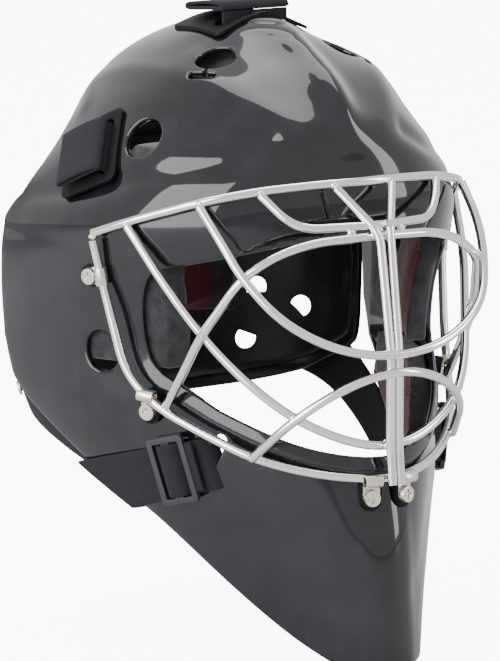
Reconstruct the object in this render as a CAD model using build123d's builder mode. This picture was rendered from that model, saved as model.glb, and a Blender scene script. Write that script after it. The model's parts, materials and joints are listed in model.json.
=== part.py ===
"""Ice hockey goalie mask: moulded shell, welded wire cage, foam liner, back plate and harness.

Millimetres. +Z is up, the face looks along -Y, and X = 0 is the plane of symmetry.
The origin is inside the head cavity. Names say right and left as the wearer has them: right is -X.
"""

import os
from math import copysign, cos, exp, pi, radians, sin, tan

from build123d import *

os.makedirs("parts", exist_ok=True)

# ---- Driving dimensions ----
WALL = 3.5  # shell thickness
FIT = 0.3  # air between loosely stacked layers
FREE = 0.1  # air round a screw or rivet
WEBBING = 2.0  # harness webbing thickness
STRAP_WIDTH = 25.0
WIRE_RADIUS = 2.2  # cage wire
CENTRE = Vector(0, 0, 20)  # the head form shrinks towards this point
REACH = Vector(100, 112, 137)  # form's reach from there, sideways, lengthwise and up
SPAN = 130.0  # wider than half the mask, for cuts that go right through
RING_POINTS = 32
RIDGE_WIDTH = 9.0  # half width of the raised ridge over the crown

# Depths below the outer surface at which each layer lies, outside counted negative
UNDER_SHELL = WALL + FIT
STRAP_TOP = 8.4
STRAP_BOTTOM = STRAP_TOP + WEBBING
PLATE_TOP = 11.0
PLATE_BOTTOM = 14.0
PLATE_FOAM_BOTTOM = 24.0
LINER_BOTTOM = 17.0
SWEATBAND_TOP = LINER_BOTTOM + FIT
SWEATBAND_BOTTOM = SWEATBAND_TOP + 2.5
CROWN_TOP = STRAP_BOTTOM + 0.6
CROWN_BOTTOM = 21.0
WEBBING_OUT_BOTTOM = -0.6
WEBBING_OUT_TOP = WEBBING_OUT_BOTTOM - WEBBING
HOOK_TOP = -1.8

# Levels of the head form: height, front, half width, where it is widest, rear,
# front squareness, rear squareness, height of the ridge
LEVELS = [
    (-150, -131, 48, 0, 70, 2.1, 2.2, 0),
    (-120, -129, 60, 10, 90, 1.95, 2.4, 0),
    (-87, -126, 77, 20, 102, 1.8, 2.7, 0),
    (-55, -121, 95, 38, 108, 1.75, 2.8, 0),
    (-25, -117, 105, 52, 110, 1.7, 2.6, 0),
    (5, -115, 107, 58, 112, 1.7, 2.4, 0),
    (30, -108, 107, 60, 112, 1.95, 2.4, 0),
    (50, -98, 105, 58, 112, 2.4, 2.4, 0),
    (68, -95, 101, 50, 110, 2.7, 2.4, 0),
    (80, -94, 93, 35, 108, 2.8, 2.3, 0),
    (92, -92, 86, 18, 106, 2.6, 2.2, 0),
    (104, -91, 79, 8, 103, 2.1, 2.2, 0),
    (115, -87, 72, 5, 98, 1.9, 2.2, 2),
    (125, -74, 64, 5, 90, 2.1, 2.2, 9),
    (135, -58, 53, 5, 80, 2.3, 2.2, 13),
    (143, -42, 40, 5, 66, 2.2, 2.1, 14),
    (149, -32, 27, 5, 50, 2.0, 2.0, 12),
    (154, -24, 14, 0, 30, 2.0, 2.0, 6),
    (157, -12, 3, -8, 5, 2.0, 2.0, 1),
]


def ring(level, depth):
    """Points round one level of the head form, drawn in by a depth."""
    _, front, half_width, widest, rear, front_power, rear_power, ridge = level
    points = []
    for step in range(RING_POINTS):
        sideways = sin(2 * pi * step / RING_POINTS)
        forward = cos(2 * pi * step / RING_POINTS)
        power = front_power if forward > 0 else rear_power
        reach = widest - front if forward > 0 else rear - widest
        x = half_width * copysign(abs(sideways) ** (2 / power), sideways)
        y = widest - reach * copysign(abs(forward) ** (2 / power), forward)
        if forward > 0:
            y -= ridge * exp(-((x / RIDGE_WIDTH) ** 2))
        points.append((x * (1 - depth / REACH.X), y * (1 - depth / REACH.Y)))
    return points


def head_form(depth):
    """The solid head form, lofted through its levels, at a depth below the outer surface."""
    even_steps = [step / RING_POINTS for step in range(RING_POINTS + 1)]
    with BuildPart() as form:
        for level in LEVELS:
            height = CENTRE.Z + (level[0] - CENTRE.Z) * (1 - depth / REACH.Z)
            with BuildSketch(Plane.XY.offset(height)):
                with BuildLine():
                    add(Edge.make_spline(ring(level, depth), periodic=True, parameters=even_steps))
                make_face()
        loft()
    return form.part


FORM = {}


def keep_layer(top, bottom):
    """Keep only what lies between two depths of the head form."""
    for depth in (top, bottom):
        if depth not in FORM:
            FORM[depth] = head_form(depth)
    add(FORM[top], mode=Mode.INTERSECT)
    add(FORM[bottom], mode=Mode.SUBTRACT)


def prism(plane, outline, amount, mode=Mode.ADD, both=False):
    """Extrude a closed outline of straight edges."""
    with BuildSketch(plane) as face:
        with BuildLine():
            Polyline(*outline, close=True)
        make_face()
    extrude(face.sketch, amount=amount, both=both, mode=mode)


def save(builder, name):
    """Label a finished piece and write it."""
    builder.part.label = name
    export_step(builder.part, f"parts/{name}.step")


def save_pair(builder, name):
    """Write a piece of the right side and its mirror image on the left."""
    save(builder, f"{name}_right")
    with BuildPart() as other:
        add(builder.part)
        mirror(about=Plane.YZ, mode=Mode.REPLACE)
    save(other, f"{name}_left")


def band(start, end, width):
    """Corners of a straight strap seen from the side, from one point to another."""
    (y0, z0), (y1, z1) = start, end
    along = Vector(y1 - y0, z1 - z0).normalized()
    across = Vector(-along.Y, along.X) * (width / 2)
    return [
        (y0 + across.X, z0 + across.Y),
        (y1 + across.X, z1 + across.Y),
        (y1 - across.X, z1 - across.Y),
        (y0 - across.X, z0 - across.Y),
    ]


# ---- Outline of the shell from the side: chin, jaw line, rear edge ----
def side_outline():
    """Close the shell's side outline: open jaw line below, rear edge behind the ears and crown."""
    Spline((-118, -143.5), (-92, -128), (-66, -109), (-30, -78), (0, -58), (38, -31))
    Polyline((38, -31), (50, -20), (57, 0), (61, 45), (61, 58), (52, 70), (50, 84))
    Polyline((50, 84), (53, 120), (50, 170), (-165, 170), (-165, -143.5), (-118, -143.5))


# ---- Face port, seen from the front ----
def port_outline():
    """Close the face port's outline: brow line, sides and cheek line."""
    ThreePointArc((-79, 46.5), (0, 61), (79, 46.5))
    Polyline((79, 46.5), (84.5, 39), (82, 10), (77, -7))
    Spline((77, -7), (62, -22), (34, -37), (0, -42), (-34, -37), (-62, -22), (-77, -7))
    Polyline((-77, -7), (-82, 10), (-84.5, 39), (-79, 46.5))


# ---- Round vents and strap slots ----
VENTS = {  # place on the right side, direction it faces, radius
    "temple": ((-75, -24, 104), (-0.81, -0.2, 0.55), 10.5),
    "ear": ((-95, -14, 1), (-0.97, -0.24, 0), 10.0),
    "crown": ((-36, -26, 141), (-0.41, -0.24, 0.88), 10.0),
}
SLIT = ((-46.5, -32.5, 133.5), (-0.55, -0.28, 0.79), (-8, 13, -1))  # and the way it runs
SLIT_SIZE = (15.5, 6.0)


class Tab:
    """A harness tab: the webbing comes out of a slot, folds over and lies back on the shell."""

    def __init__(self, place, normal, slot_run, slot_size, width, length, lean):
        self.normal = Vector(*normal).normalized()
        run = Vector(*slot_run)
        self.run = (run - self.normal * run.dot(self.normal)).normalized()
        self.back = self.run.cross(self.normal)
        self.place = Vector(*place)
        self.slot_size = slot_size
        self.width = width
        self.length = length
        self.lean = radians(lean)

    def plane(self, out=0.0):
        """A plane on the slot's mouth: x along it, -y towards the tab's free end, z out of the shell."""
        return Plane(origin=self.place + self.normal * out, x_dir=self.run, z_dir=self.normal)

    def flap_plane(self, out):
        """The same, leaning with the flap, which follows the shell down towards its free end."""
        facing = self.normal * cos(self.lean) + self.back * sin(self.lean)
        return Plane(origin=self.place + self.normal * out, x_dir=self.run, z_dir=facing)


SIDE_TAB = Tab((-82.6, -3.5, 97.5), (-0.86, -0.05, 0.5), (-0.5, -0.48, -0.72), (31, 8), 27, 29, 1.5)
TOP_TAB = Tab((0, -4, 156.4), (0, 0, 1), (-1, 0, 0), (44, 9), 37, 34, 5)
TAB_STAND = 3.4  # underside of a flap above its slot's mouth
TAB_THICKNESS = 4.0

# ---- Cage wires: bends on the left half, from the top bar or the lower bar to the middle ----
TOP_BAR = [
    (101, -20.5, 60), (94, -39, 67), (74.5, -73, 79), (49.5, -88, 84.5), (17, -99, 87), (0, -101, 87),
]  # fmt: skip
LOWER_BAR = [
    (101, -20.5, 56.5), (97.5, -23.5, 36), (92, -34.5, -6), (84, -50, -21.5),
    (70, -73, -33), (55, -92.5, -43), (30, -113.5, -50), (0, -127, -52.5),
]  # fmt: skip
BROW_WIRE = [(49.5, -88.5, 82.5), (39.7, -104, 67.5), (0, -115, 68)]
EYE_WIRE = [
    (81, -54, -21), (79.5, -68, -2), (78, -80, 16), (67, -99, 45.5),
    (52, -105, 56), (34, -110, 61.5), (0, -115.5, 63.1),
]  # fmt: skip
UPPER_HOOP = [
    (74.5, -74.5, 77), (72.5, -91, 62), (68.5, -103, 46), (56, -120, 26), (30, -130, 12), (0, -132.9, 7.6),
]  # fmt: skip
LOWER_HOOP = [
    (93.5, -40, 65), (86, -60, 40), (75, -77, 16), (62, -97, -5),
    (46, -112, -21), (22, -122, -33), (0, -124.6, -37),
]  # fmt: skip
CHIN_WIRE = [(57, -93.5, -41.5), (47.8, -115.6, -20.5), (27, -128, -5), (0, -133, 1.8)]
CENTRE_WIRE = [(15.6, -101.5, 84.8), (3, -119.6, 65), (2.3, -128.8, 7), (2.3, -129, -37), (2.3, -131, -54)]


def bend_radii(points):
    """The largest bend at each point that its two runs leave room for."""
    radii = []
    for before, here, after in zip(points, points[1:], points[2:]):
        into = Vector(*here) - Vector(*before)
        out_of = Vector(*after) - Vector(*here)
        turn = radians(into.get_angle(out_of))
        radii.append(0.45 * min(into.length, out_of.length) / tan(turn / 2))
    return radii


def bent_wire(points):
    """A round wire bent along a route: straight runs joined by tangent arcs."""
    with BuildPart() as piece:
        with BuildLine() as route:
            FilletPolyline(*points, radius=bend_radii(points))
        with BuildSketch(Plane(origin=route.line @ 0, z_dir=route.line % 0)):
            Circle(WIRE_RADIUS)
        sweep()
    return piece


def across(half):
    """A whole route from its left half, whose last point is in the middle."""
    return half[:-1] + [(-x, y, z) for x, y, z in reversed(half)]


for wire_name, half_route in {
    "cage_top_bar": TOP_BAR,
    "cage_lower_bar": LOWER_BAR,
    "cage_brow_wire": BROW_WIRE,
    "cage_eye_wire": EYE_WIRE,
    "cage_upper_hoop": UPPER_HOOP,
    "cage_lower_hoop": LOWER_HOOP,
    "cage_chin_wire": CHIN_WIRE,
}.items():
    save(bent_wire(across(half_route)), wire_name)

with BuildPart() as centre_wires:
    add(bent_wire(CENTRE_WIRE).part)
    mirror(about=Plane.YZ)
save(centre_wires, "cage_centre_wires")

# ---- Cage clips: where each sits on the lower bar, which way its foot points, which way it faces ----
CLIP_SEATS = [
    ((-97.9, -23.0, 39), (0.3, 1, -0.05), (-0.93, -0.36, -0.08)),
    ((-86.5, -45.5, -16.5), (0.45, 0.35, -0.85), (-0.88, -0.46, -0.12)),
    ((-9.7, -125.4, -52.2), (0, 0.12, -1), (-0.25, -0.96, 0.05)),
]
FOOT_REACH = 8.5  # wire centre to screw centre
CLIP_WIDTH = 8.5
CLIP_METAL = 1.0
SCREW_RADIUS = 2.0
HEAD_RADIUS = 4.4
HEAD_HEIGHT = 2.4
PAD_THICKNESS = 2.6
NUT_RADIUS = 3.9
NUT_HEIGHT = 3.0
FOOT_DEPTH = WIRE_RADIUS + CLIP_METAL  # underside of the foot below the wire's centre


def clip_plane(seat, side, down=0.0):
    """A plane on a clip's foot: x along the foot, z out of the shell, origin at the screw."""
    (x, y, z), (fx, fy, fz), (nx, ny, nz) = seat
    normal = Vector(side * nx, ny, nz).normalized()
    foot = Vector(side * fx, fy, fz)
    foot = (foot - normal * foot.dot(normal)).normalized()
    origin = Vector(side * x, y, z) + foot * FOOT_REACH - normal * (FOOT_DEPTH + down)
    return Plane(origin=origin, x_dir=foot, z_dir=normal)


CLIPS = [(seat, side) for seat in CLIP_SEATS for side in (1, -1)]

with BuildPart() as clips:
    for seat, side in CLIPS:
        foot_plane = clip_plane(seat, side)
        with BuildSketch(foot_plane):
            with Locations((-FOOT_REACH / 2, 0)):
                Rectangle(FOOT_REACH, CLIP_WIDTH)
            Circle(CLIP_WIDTH / 2)
            Circle(SCREW_RADIUS + FREE, mode=Mode.SUBTRACT)
        extrude(amount=CLIP_METAL)
        wire_centre = foot_plane.from_local_coords((-FOOT_REACH, 0, FOOT_DEPTH))
        loop_plane = Plane(origin=wire_centre, x_dir=foot_plane.x_dir, z_dir=foot_plane.y_dir)
        with BuildSketch(loop_plane):
            Circle(WIRE_RADIUS + CLIP_METAL)
            Circle(WIRE_RADIUS, mode=Mode.SUBTRACT)
        extrude(amount=CLIP_WIDTH / 2, both=True)
save(clips, "cage_clips")

with BuildPart() as screws:
    for seat, side in CLIPS:
        with BuildSketch(clip_plane(seat, side, -CLIP_METAL)):
            Circle(HEAD_RADIUS)
        extrude(amount=HEAD_HEIGHT, taper=12)
        with BuildSketch(clip_plane(seat, side, -CLIP_METAL)):
            Circle(SCREW_RADIUS)
        extrude(amount=-(CLIP_METAL + PAD_THICKNESS + WALL + 2 + NUT_HEIGHT))
        with BuildSketch(clip_plane(seat, side, -CLIP_METAL - HEAD_HEIGHT)):
            Rectangle(4.6, 1.1)
            Rectangle(1.1, 4.6)
        extrude(amount=-1.4, mode=Mode.SUBTRACT)
save(screws, "clip_screws")

with BuildPart() as nuts:
    for seat, side in CLIPS:
        with BuildSketch(clip_plane(seat, side, PAD_THICKNESS + WALL + 1.2)):
            RegularPolygon(NUT_RADIUS, 6)
            Circle(SCREW_RADIUS + 0.02, mode=Mode.SUBTRACT)
        extrude(amount=-NUT_HEIGHT)
save(nuts, "clip_nuts")

FORM[0] = head_form(0)
with BuildPart() as rubber_pads:
    for seat, side in CLIPS:
        with BuildSketch(clip_plane(seat, side)):
            with Locations((-2, 0)):
                SlotOverall(17, 11)
            Circle(SCREW_RADIUS + FREE, mode=Mode.SUBTRACT)
        extrude(amount=-7)
    add(FORM[0], mode=Mode.SUBTRACT)
save(rubber_pads, "clip_pads")

# ---- Shell ----
LOWER_SLOT = ((-68.5, -69.5, -47.5), (-0.85, -0.52, -0.05), (0.25, -0.5, 1))
LOWER_SLOT_SIZE = (31, 6.5)


def cut_through(place, normal, run, length, width, depth=16.0):
    """Cut a round-ended slot through the wall, on both sides of the mask."""
    for side in (1, -1):
        x, y, z = place
        normal_here = Vector(side * normal[0], normal[1], normal[2]).normalized()
        run_here = Vector(side * run[0], run[1], run[2])
        run_here = run_here - normal_here * run_here.dot(normal_here)
        slot_plane = Plane(origin=(side * x, y, z), x_dir=run_here, z_dir=normal_here)
        with BuildSketch(slot_plane) as slot:
            SlotOverall(length, width)
        extrude(slot.sketch, amount=depth / 2, both=True, mode=Mode.SUBTRACT)


with BuildPart() as shell:
    add(FORM[0])
    add(head_form(WALL), mode=Mode.SUBTRACT)
    with BuildSketch(Plane.YZ):
        with BuildLine():
            side_outline()
        make_face()
    extrude(amount=SPAN, both=True, mode=Mode.INTERSECT)
    with BuildSketch(Plane.XZ):
        with BuildLine():
            port_outline()
        make_face()
    extrude(amount=SPAN * 2, mode=Mode.SUBTRACT)
    for place, normal, radius in VENTS.values():
        for side in (1, -1):
            place_here = (side * place[0], place[1], place[2])
            facing = (side * normal[0], normal[1], normal[2])
            with BuildSketch(Plane(origin=place_here, z_dir=facing)):
                Circle(radius)
            extrude(amount=9, both=True, mode=Mode.SUBTRACT)
    cut_through(*SLIT, *SLIT_SIZE, depth=12)
    cut_through(*LOWER_SLOT, *LOWER_SLOT_SIZE)
    cut_through(tuple(SIDE_TAB.place), tuple(SIDE_TAB.normal), tuple(SIDE_TAB.run), *SIDE_TAB.slot_size)
    with BuildSketch(TOP_TAB.plane()):
        SlotOverall(*TOP_TAB.slot_size)
    extrude(amount=14, both=True, mode=Mode.SUBTRACT)
    for seat, side in CLIPS:
        with BuildSketch(clip_plane(seat, side)):
            Circle(SCREW_RADIUS + FREE)
        extrude(amount=-18, mode=Mode.SUBTRACT)
save(shell, "shell")

# ---- Foam liner ----
POCKET_RADIUS = 6.0  # room round each clip's nut


def nut_pockets():
    """Leave room in a liner pad for the nuts behind the cage clips."""
    for seat, side in CLIPS:
        with BuildSketch(clip_plane(seat, side)) as pocket:
            Circle(POCKET_RADIUS)
        extrude(pocket.sketch, amount=-30, mode=Mode.SUBTRACT)


def vent_pocket(plane, radius):
    """Leave room in a liner pad behind a vent."""
    with BuildSketch(plane) as pocket:
        Circle(radius)
    extrude(pocket.sketch, amount=14, both=True, mode=Mode.SUBTRACT)


with BuildPart() as forehead_pad:
    prism(Plane.XZ, [(-55, 67), (55, 67), (51.5, 88), (42, 99), (-42, 99), (-51.5, 88)], SPAN)
    keep_layer(UNDER_SHELL, LINER_BOTTOM)
save(forehead_pad, "forehead_pad")

with BuildPart() as sweatband:
    prism(Plane.XZ, [(-50, 68), (50, 68), (48, 92), (-48, 92)], SPAN)
    keep_layer(SWEATBAND_TOP, SWEATBAND_BOTTOM)
save(sweatband, "sweatband")

with BuildPart() as crown_pad:
    prism(Plane.XY, [(-42, -58), (42, -58), (42, 42), (-42, 42)], SPAN * 2)
    prism(Plane.XY, [(-SPAN, -SPAN), (SPAN, -SPAN), (SPAN, SPAN), (-SPAN, SPAN)], 104, Mode.SUBTRACT)
    keep_layer(CROWN_TOP, CROWN_BOTTOM)
save(crown_pad, "crown_pad")

SIDE_PADS = {  # outline from the side
    "temple_pad": [(-46, -6), (-50, 44), (-47, 101), (-14, 101), (-6, 62), (26, 60), (30, -6)],
    "jaw_pad": [(-62, -52), (-56, -20), (-40, -10), (18, -10), (18, -33), (-4, -45), (-26, -57)],
}
for pad_name, outline in SIDE_PADS.items():
    with BuildPart() as pad:
        prism(Plane.YZ, outline, -SPAN)
        keep_layer(UNDER_SHELL, LINER_BOTTOM)
        nut_pockets()
    save_pair(pad, pad_name)

with BuildPart() as chin_pad:
    prism(Plane.XZ, [(-34, -122), (34, -122), (42, -76), (-42, -76)], SPAN * 2)
    keep_layer(UNDER_SHELL, LINER_BOTTOM)
    nut_pockets()
save(chin_pad, "chin_pad")

# ---- Back plate ----
PLATE_OUTLINE = [
    (45, -14), (50, -24), (64, -33), (78, -40.5), (104, -49), (130, -49),
    (130, 90), (88, 90), (60, 70), (47, 52), (44, 30),
]  # fmt: skip
PLATE_VENTS = [  # place, direction it faces from +X, how far its flat side is turned from the bottom
    ((78, 78, -7), 40, -45),
    ((56, 95, -23), 62, 159),
    ((62, 94, 3), 60, 0),
]
RIVET_RADIUS = 1.9
RIVET_HEAD = (4.0, 1.5)
RIVET_SEAT = PLATE_TOP - STRAP_TOP + 0.8  # underside of the head above the plate
RIVETS = {  # where each strap is held on the plate, on the right or in the middle, and the way it faces
    "top": [((7, 98, 74), (0, 0.95, 0.3)), ((-7, 98, 74), (0, 0.95, 0.3))],
    "side": [((-88.8, 72, 48), (-0.84, 0.51, 0.2)), ((-86.4, 70, -30), (-0.84, 0.46, -0.29))],
}


def rivet_planes():
    """A plane on the plate's outer face for each rivet, z outwards."""
    planes = [Plane(origin=place, z_dir=facing) for place, facing in RIVETS["top"]]
    for (x, y, z), (nx, ny, nz) in RIVETS["side"]:
        for side in (1, -1):
            planes.append(Plane(origin=(side * x, y, z), z_dir=(side * nx, ny, nz)))
    return planes


def rivet_holes():
    """Drill for the rivets."""
    for rivet_plane in rivet_planes():
        with BuildSketch(rivet_plane) as hole:
            Circle(RIVET_RADIUS + FREE)
        extrude(hole.sketch, amount=8, both=True, mode=Mode.SUBTRACT)


def d_hole(place, turn, roll):
    """Cut a D-shaped vent through the plate on both sides."""
    for side in (1, -1):
        facing = Vector(side * cos(radians(turn)), sin(radians(turn)), 0)
        level = Vector(-side * sin(radians(turn)), cos(radians(turn)), 0)
        round_way = Vector(0, 0, 1) * cos(radians(roll)) + level * sin(radians(roll))
        hole_plane = Plane(origin=(side * place[0], place[1], place[2]), x_dir=round_way, z_dir=facing)
        with BuildSketch(hole_plane) as vent:
            Circle(5.5)
            with Locations((-5.2, 0)):
                Rectangle(5, 12, mode=Mode.SUBTRACT)
        extrude(vent.sketch, amount=14, both=True, mode=Mode.SUBTRACT)


with BuildPart() as back_plate:
    prism(Plane.YZ, PLATE_OUTLINE, SPAN, both=True)
    keep_layer(PLATE_TOP, PLATE_BOTTOM)
    for vent in PLATE_VENTS:
        d_hole(*vent)
    rivet_holes()
save(back_plate, "back_plate")

with BuildPart() as rivets:
    for rivet_plane in rivet_planes():
        with BuildSketch(rivet_plane.offset(RIVET_SEAT)):
            Circle(RIVET_HEAD[0])
        extrude(amount=RIVET_HEAD[1], taper=20)
        with BuildSketch(rivet_plane.offset(RIVET_SEAT)):
            Circle(RIVET_RADIUS)
        extrude(amount=-(PLATE_BOTTOM - STRAP_TOP))
save(rivets, "plate_rivets")

with BuildPart() as plate_pad:
    prism(Plane.XZ, [(-46, -8), (46, -8), (50, 30), (40, 82), (-40, 82), (-50, 30)], -SPAN * 2)
    keep_layer(PLATE_BOTTOM + FIT, PLATE_FOAM_BOTTOM)
save(plate_pad, "back_plate_pad")

# ---- Harness straps between the shell and the back plate ----
INNER_RUN = [(-17, -56), (-20, -70), (-6, -66), (6, -67), (80, -38), (72, -18)]  # from the side

with BuildPart() as top_strap:
    prism(Plane.XY, [(-17, 5), (17, 5), (17, SPAN), (-17, SPAN)], SPAN * 2)
    prism(Plane.YZ, [(-SPAN, -SPAN), (SPAN, -SPAN), (SPAN, 66), (-SPAN, 66)], SPAN, Mode.SUBTRACT, both=True)
    keep_layer(STRAP_TOP, STRAP_BOTTOM)
    rivet_holes()
save(top_strap, "top_strap")

SIDE_STRAPS = {  # outline from the side
    "upper_strap": band((8, 90), (82, 43), STRAP_WIDTH - 3),
    "lower_strap": INNER_RUN,
}
for strap_name, outline in SIDE_STRAPS.items():
    with BuildPart() as strap:
        prism(Plane.YZ, outline, -SPAN)
        keep_layer(STRAP_TOP, STRAP_BOTTOM)
        rivet_holes()
    save_pair(strap, strap_name)

# ---- Lower webbing: out of its slot, through the slider, round the jaw line ----
WEBBING_RUN = [(-65.2, -37), (6.7, -57.1), (-20.8, -75.5), (-72.4, -59)]  # from the side
BEFORE_THE_TURN = [(13.9, -49.8), (-30.2, -79.4), (-90, -79.4), (-90, -20), (13.9, -20)]
STUB_THICKNESS = WEBBING + 0.2


def webbing_stub(plane, width):
    """Webbing standing in a slot, from under the tab or slider down to the inner strap."""
    with BuildSketch(plane.offset(-WEBBING_OUT_BOTTOM + WEBBING - FIT)) as stub:
        Rectangle(width, STUB_THICKNESS)
    extrude(stub.sketch, amount=-(STRAP_TOP + WEBBING))


def mirrored_side(plane):
    """The same plane on the left of the mask, with its x axis mirrored too."""
    place, run, facing = [
        Vector(-part.X, part.Y, part.Z) for part in (plane.origin, plane.x_dir, plane.z_dir)
    ]
    return Plane(origin=place, x_dir=run, z_dir=facing)


with BuildPart() as under_webbing:
    prism(Plane.YZ, BEFORE_THE_TURN, -SPAN)
    add(head_form(WEBBING_OUT_BOTTOM), mode=Mode.INTERSECT)

slot_place, slot_normal, slot_run = LOWER_SLOT
outer_form = head_form(WEBBING_OUT_TOP)
with BuildPart() as slot_stub:
    webbing_stub(Plane(origin=slot_place, x_dir=slot_run, z_dir=slot_normal), STRAP_WIDTH)
    add(outer_form, mode=Mode.INTERSECT)

with BuildPart() as lower_webbing:
    prism(Plane.YZ, WEBBING_RUN, -SPAN)
    add(outer_form, mode=Mode.INTERSECT)
    add(under_webbing.part, mode=Mode.SUBTRACT)
    add(head_form(STRAP_TOP - FIT), mode=Mode.SUBTRACT)
    add(slot_stub.part)
save_pair(lower_webbing, "lower_webbing")

# ---- Sliders on the lower webbing ----
SLIDER_PLACE = Vector(-73.3, -52.5, -51.5)
SLIDER_FACING = Vector(-0.89, -0.43, -0.12).normalized()
SLIDER_ALONG = Vector(-0.43, 0.963, -0.269)
SLIDER_SIZE = (21, 33)
SLIDER_RISE = 3.3  # its underside above the shell
SLIDER_THICKNESS = 2.4
LUG = (2.0, 2.2)  # thickness and depth of the ends that hold the webbing in

slider_run = (SLIDER_ALONG - SLIDER_FACING * SLIDER_ALONG.dot(SLIDER_FACING)).normalized()
slider_plane = Plane(origin=SLIDER_PLACE + SLIDER_FACING * SLIDER_RISE, x_dir=slider_run, z_dir=SLIDER_FACING)
with BuildPart() as slider:
    with BuildSketch(slider_plane):
        RectangleRounded(*SLIDER_SIZE, 2)
        with Locations((-4.9, 0), (4.9, 0)):
            RectangleRounded(5.4, 27.6, 0.8, mode=Mode.SUBTRACT)
    extrude(amount=SLIDER_THICKNESS)
    with BuildSketch(slider_plane):
        with Locations((0, SLIDER_SIZE[1] / 2 - LUG[0] / 2), (0, -SLIDER_SIZE[1] / 2 + LUG[0] / 2)):
            Rectangle(SLIDER_SIZE[0] - 5, LUG[0])
    extrude(amount=-LUG[1])
save_pair(slider, "strap_slider")

# ---- Tabs: flaps that peel open, the webbing in their slots, hook plates below them ----
def flap(tab):
    """The folded end of a strap, lying back over the shell from its slot."""
    with BuildPart() as piece:
        with BuildSketch(tab.flap_plane(TAB_STAND)):
            with Locations((0, -tab.length / 2)):
                RectangleRounded(tab.width, tab.length, 2.5)
        extrude(amount=TAB_THICKNESS)
        fillet(piece.edges().group_by(SortBy.LENGTH)[-1], radius=1.2)
    return piece


save(flap(TOP_TAB), "top_tab")
save_pair(flap(SIDE_TAB), "upper_tab")

SIDE_SLOT_PLANES = [SIDE_TAB.plane(), mirrored_side(SIDE_TAB.plane())]
with BuildPart() as stubs:
    webbing_stub(TOP_TAB.plane(), 34)
    for slot_plane in SIDE_SLOT_PLANES:
        webbing_stub(slot_plane, STRAP_WIDTH)
save(stubs, "webbing_in_slots")

HOOK_MARGIN = 4.5


def hook_plate(plane, tab, toward):
    """A thin plate on the shell round a tab's slot and under its flap."""
    width, depth = tab.slot_size
    with BuildSketch(plane) as outline:
        with Locations((0, -toward * (tab.length / 2 - HOOK_MARGIN))):
            RectangleRounded(width + 2 * HOOK_MARGIN, tab.length + depth, 4)
        SlotOverall(width, depth, mode=Mode.SUBTRACT)
    extrude(outline.sketch, amount=20, both=True)


with BuildPart() as hooks:
    hook_plate(TOP_TAB.plane(), TOP_TAB, 1)
    hook_plate(SIDE_SLOT_PLANES[0], SIDE_TAB, 1)
    hook_plate(SIDE_SLOT_PLANES[1], SIDE_TAB, -1)
    keep_layer(HOOK_TOP, -FREE)
save(hooks, "hook_plates")
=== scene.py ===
import json
import logging
from collections.abc import Callable, Iterator, Sequence
from contextlib import contextmanager
from dataclasses import dataclass, field
from enum import Enum
from math import cos, pi, radians, sin, tau

import bmesh
import bpy
import numpy as np
from mathutils import Matrix, Quaternion, Vector
from mathutils.bvhtree import BVHTree

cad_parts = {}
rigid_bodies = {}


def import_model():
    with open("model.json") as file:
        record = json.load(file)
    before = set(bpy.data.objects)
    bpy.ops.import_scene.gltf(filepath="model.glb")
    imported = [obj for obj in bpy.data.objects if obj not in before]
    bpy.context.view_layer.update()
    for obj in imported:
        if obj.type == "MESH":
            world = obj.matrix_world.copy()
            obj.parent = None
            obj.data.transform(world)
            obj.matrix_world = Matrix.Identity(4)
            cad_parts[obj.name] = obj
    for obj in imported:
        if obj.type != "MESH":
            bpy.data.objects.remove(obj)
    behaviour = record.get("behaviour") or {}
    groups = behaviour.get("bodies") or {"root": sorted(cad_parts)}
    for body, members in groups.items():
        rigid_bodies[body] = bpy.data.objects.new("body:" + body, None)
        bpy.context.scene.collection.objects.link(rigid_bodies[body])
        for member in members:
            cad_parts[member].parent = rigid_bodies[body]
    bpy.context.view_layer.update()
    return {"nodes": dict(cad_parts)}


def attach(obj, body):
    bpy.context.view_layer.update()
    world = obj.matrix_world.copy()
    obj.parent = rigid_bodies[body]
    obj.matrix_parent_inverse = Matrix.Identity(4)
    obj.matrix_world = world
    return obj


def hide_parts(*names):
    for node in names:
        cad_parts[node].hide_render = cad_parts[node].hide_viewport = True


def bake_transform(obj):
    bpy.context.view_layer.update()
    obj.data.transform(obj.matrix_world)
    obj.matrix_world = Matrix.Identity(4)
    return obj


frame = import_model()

log = logging.getLogger("goalie_mask")
MM = 0.001  # the frame is in metres, sizes below are in millimetres
MERGE = 2e-6  # metres between corners of a CAD mesh that are one corner
FAR_INSIDE = 60.0  # stands for a place that an edge or an opening can't reach
OPENING_REACH = 22.0  # an opening cuts what lies nearer than this to its plane
HEAD_MIDDLE = (0.0, 10.0, 20.0)  # a point in the head, which the liner faces
Triple = tuple[float, float, float]
Pair = tuple[float, float]
Field = Callable[[np.ndarray], np.ndarray]


class Body(Enum):
    """Bodies that pieces ride on."""

    MASK = "mask"
    BACK_PLATE = "back_plate"
    SLIDER_RIGHT = "slider_right"
    SLIDER_LEFT = "slider_left"
    TOP_TAB = "top_tab"
    UPPER_TAB_RIGHT = "upper_tab_right"
    UPPER_TAB_LEFT = "upper_tab_left"


class Side(Enum):
    """The wearer's sides, and the sign of X there."""

    RIGHT = -1
    LEFT = 1

    @property
    def suffix(self) -> str:
        """Word that ends the names of this side's pieces."""
        return self.name.lower()


# ---------------------------------------------------------------- vectors


def unit(vector: Sequence[float]) -> np.ndarray:
    """Return a vector at length one."""
    array = np.asarray(vector, float)
    return array / np.linalg.norm(array)


def units(vectors: np.ndarray) -> np.ndarray:
    """Return rows of vectors at length one."""
    return vectors / np.maximum(np.linalg.norm(vectors, axis=-1, keepdims=True), 1e-9)


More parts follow.
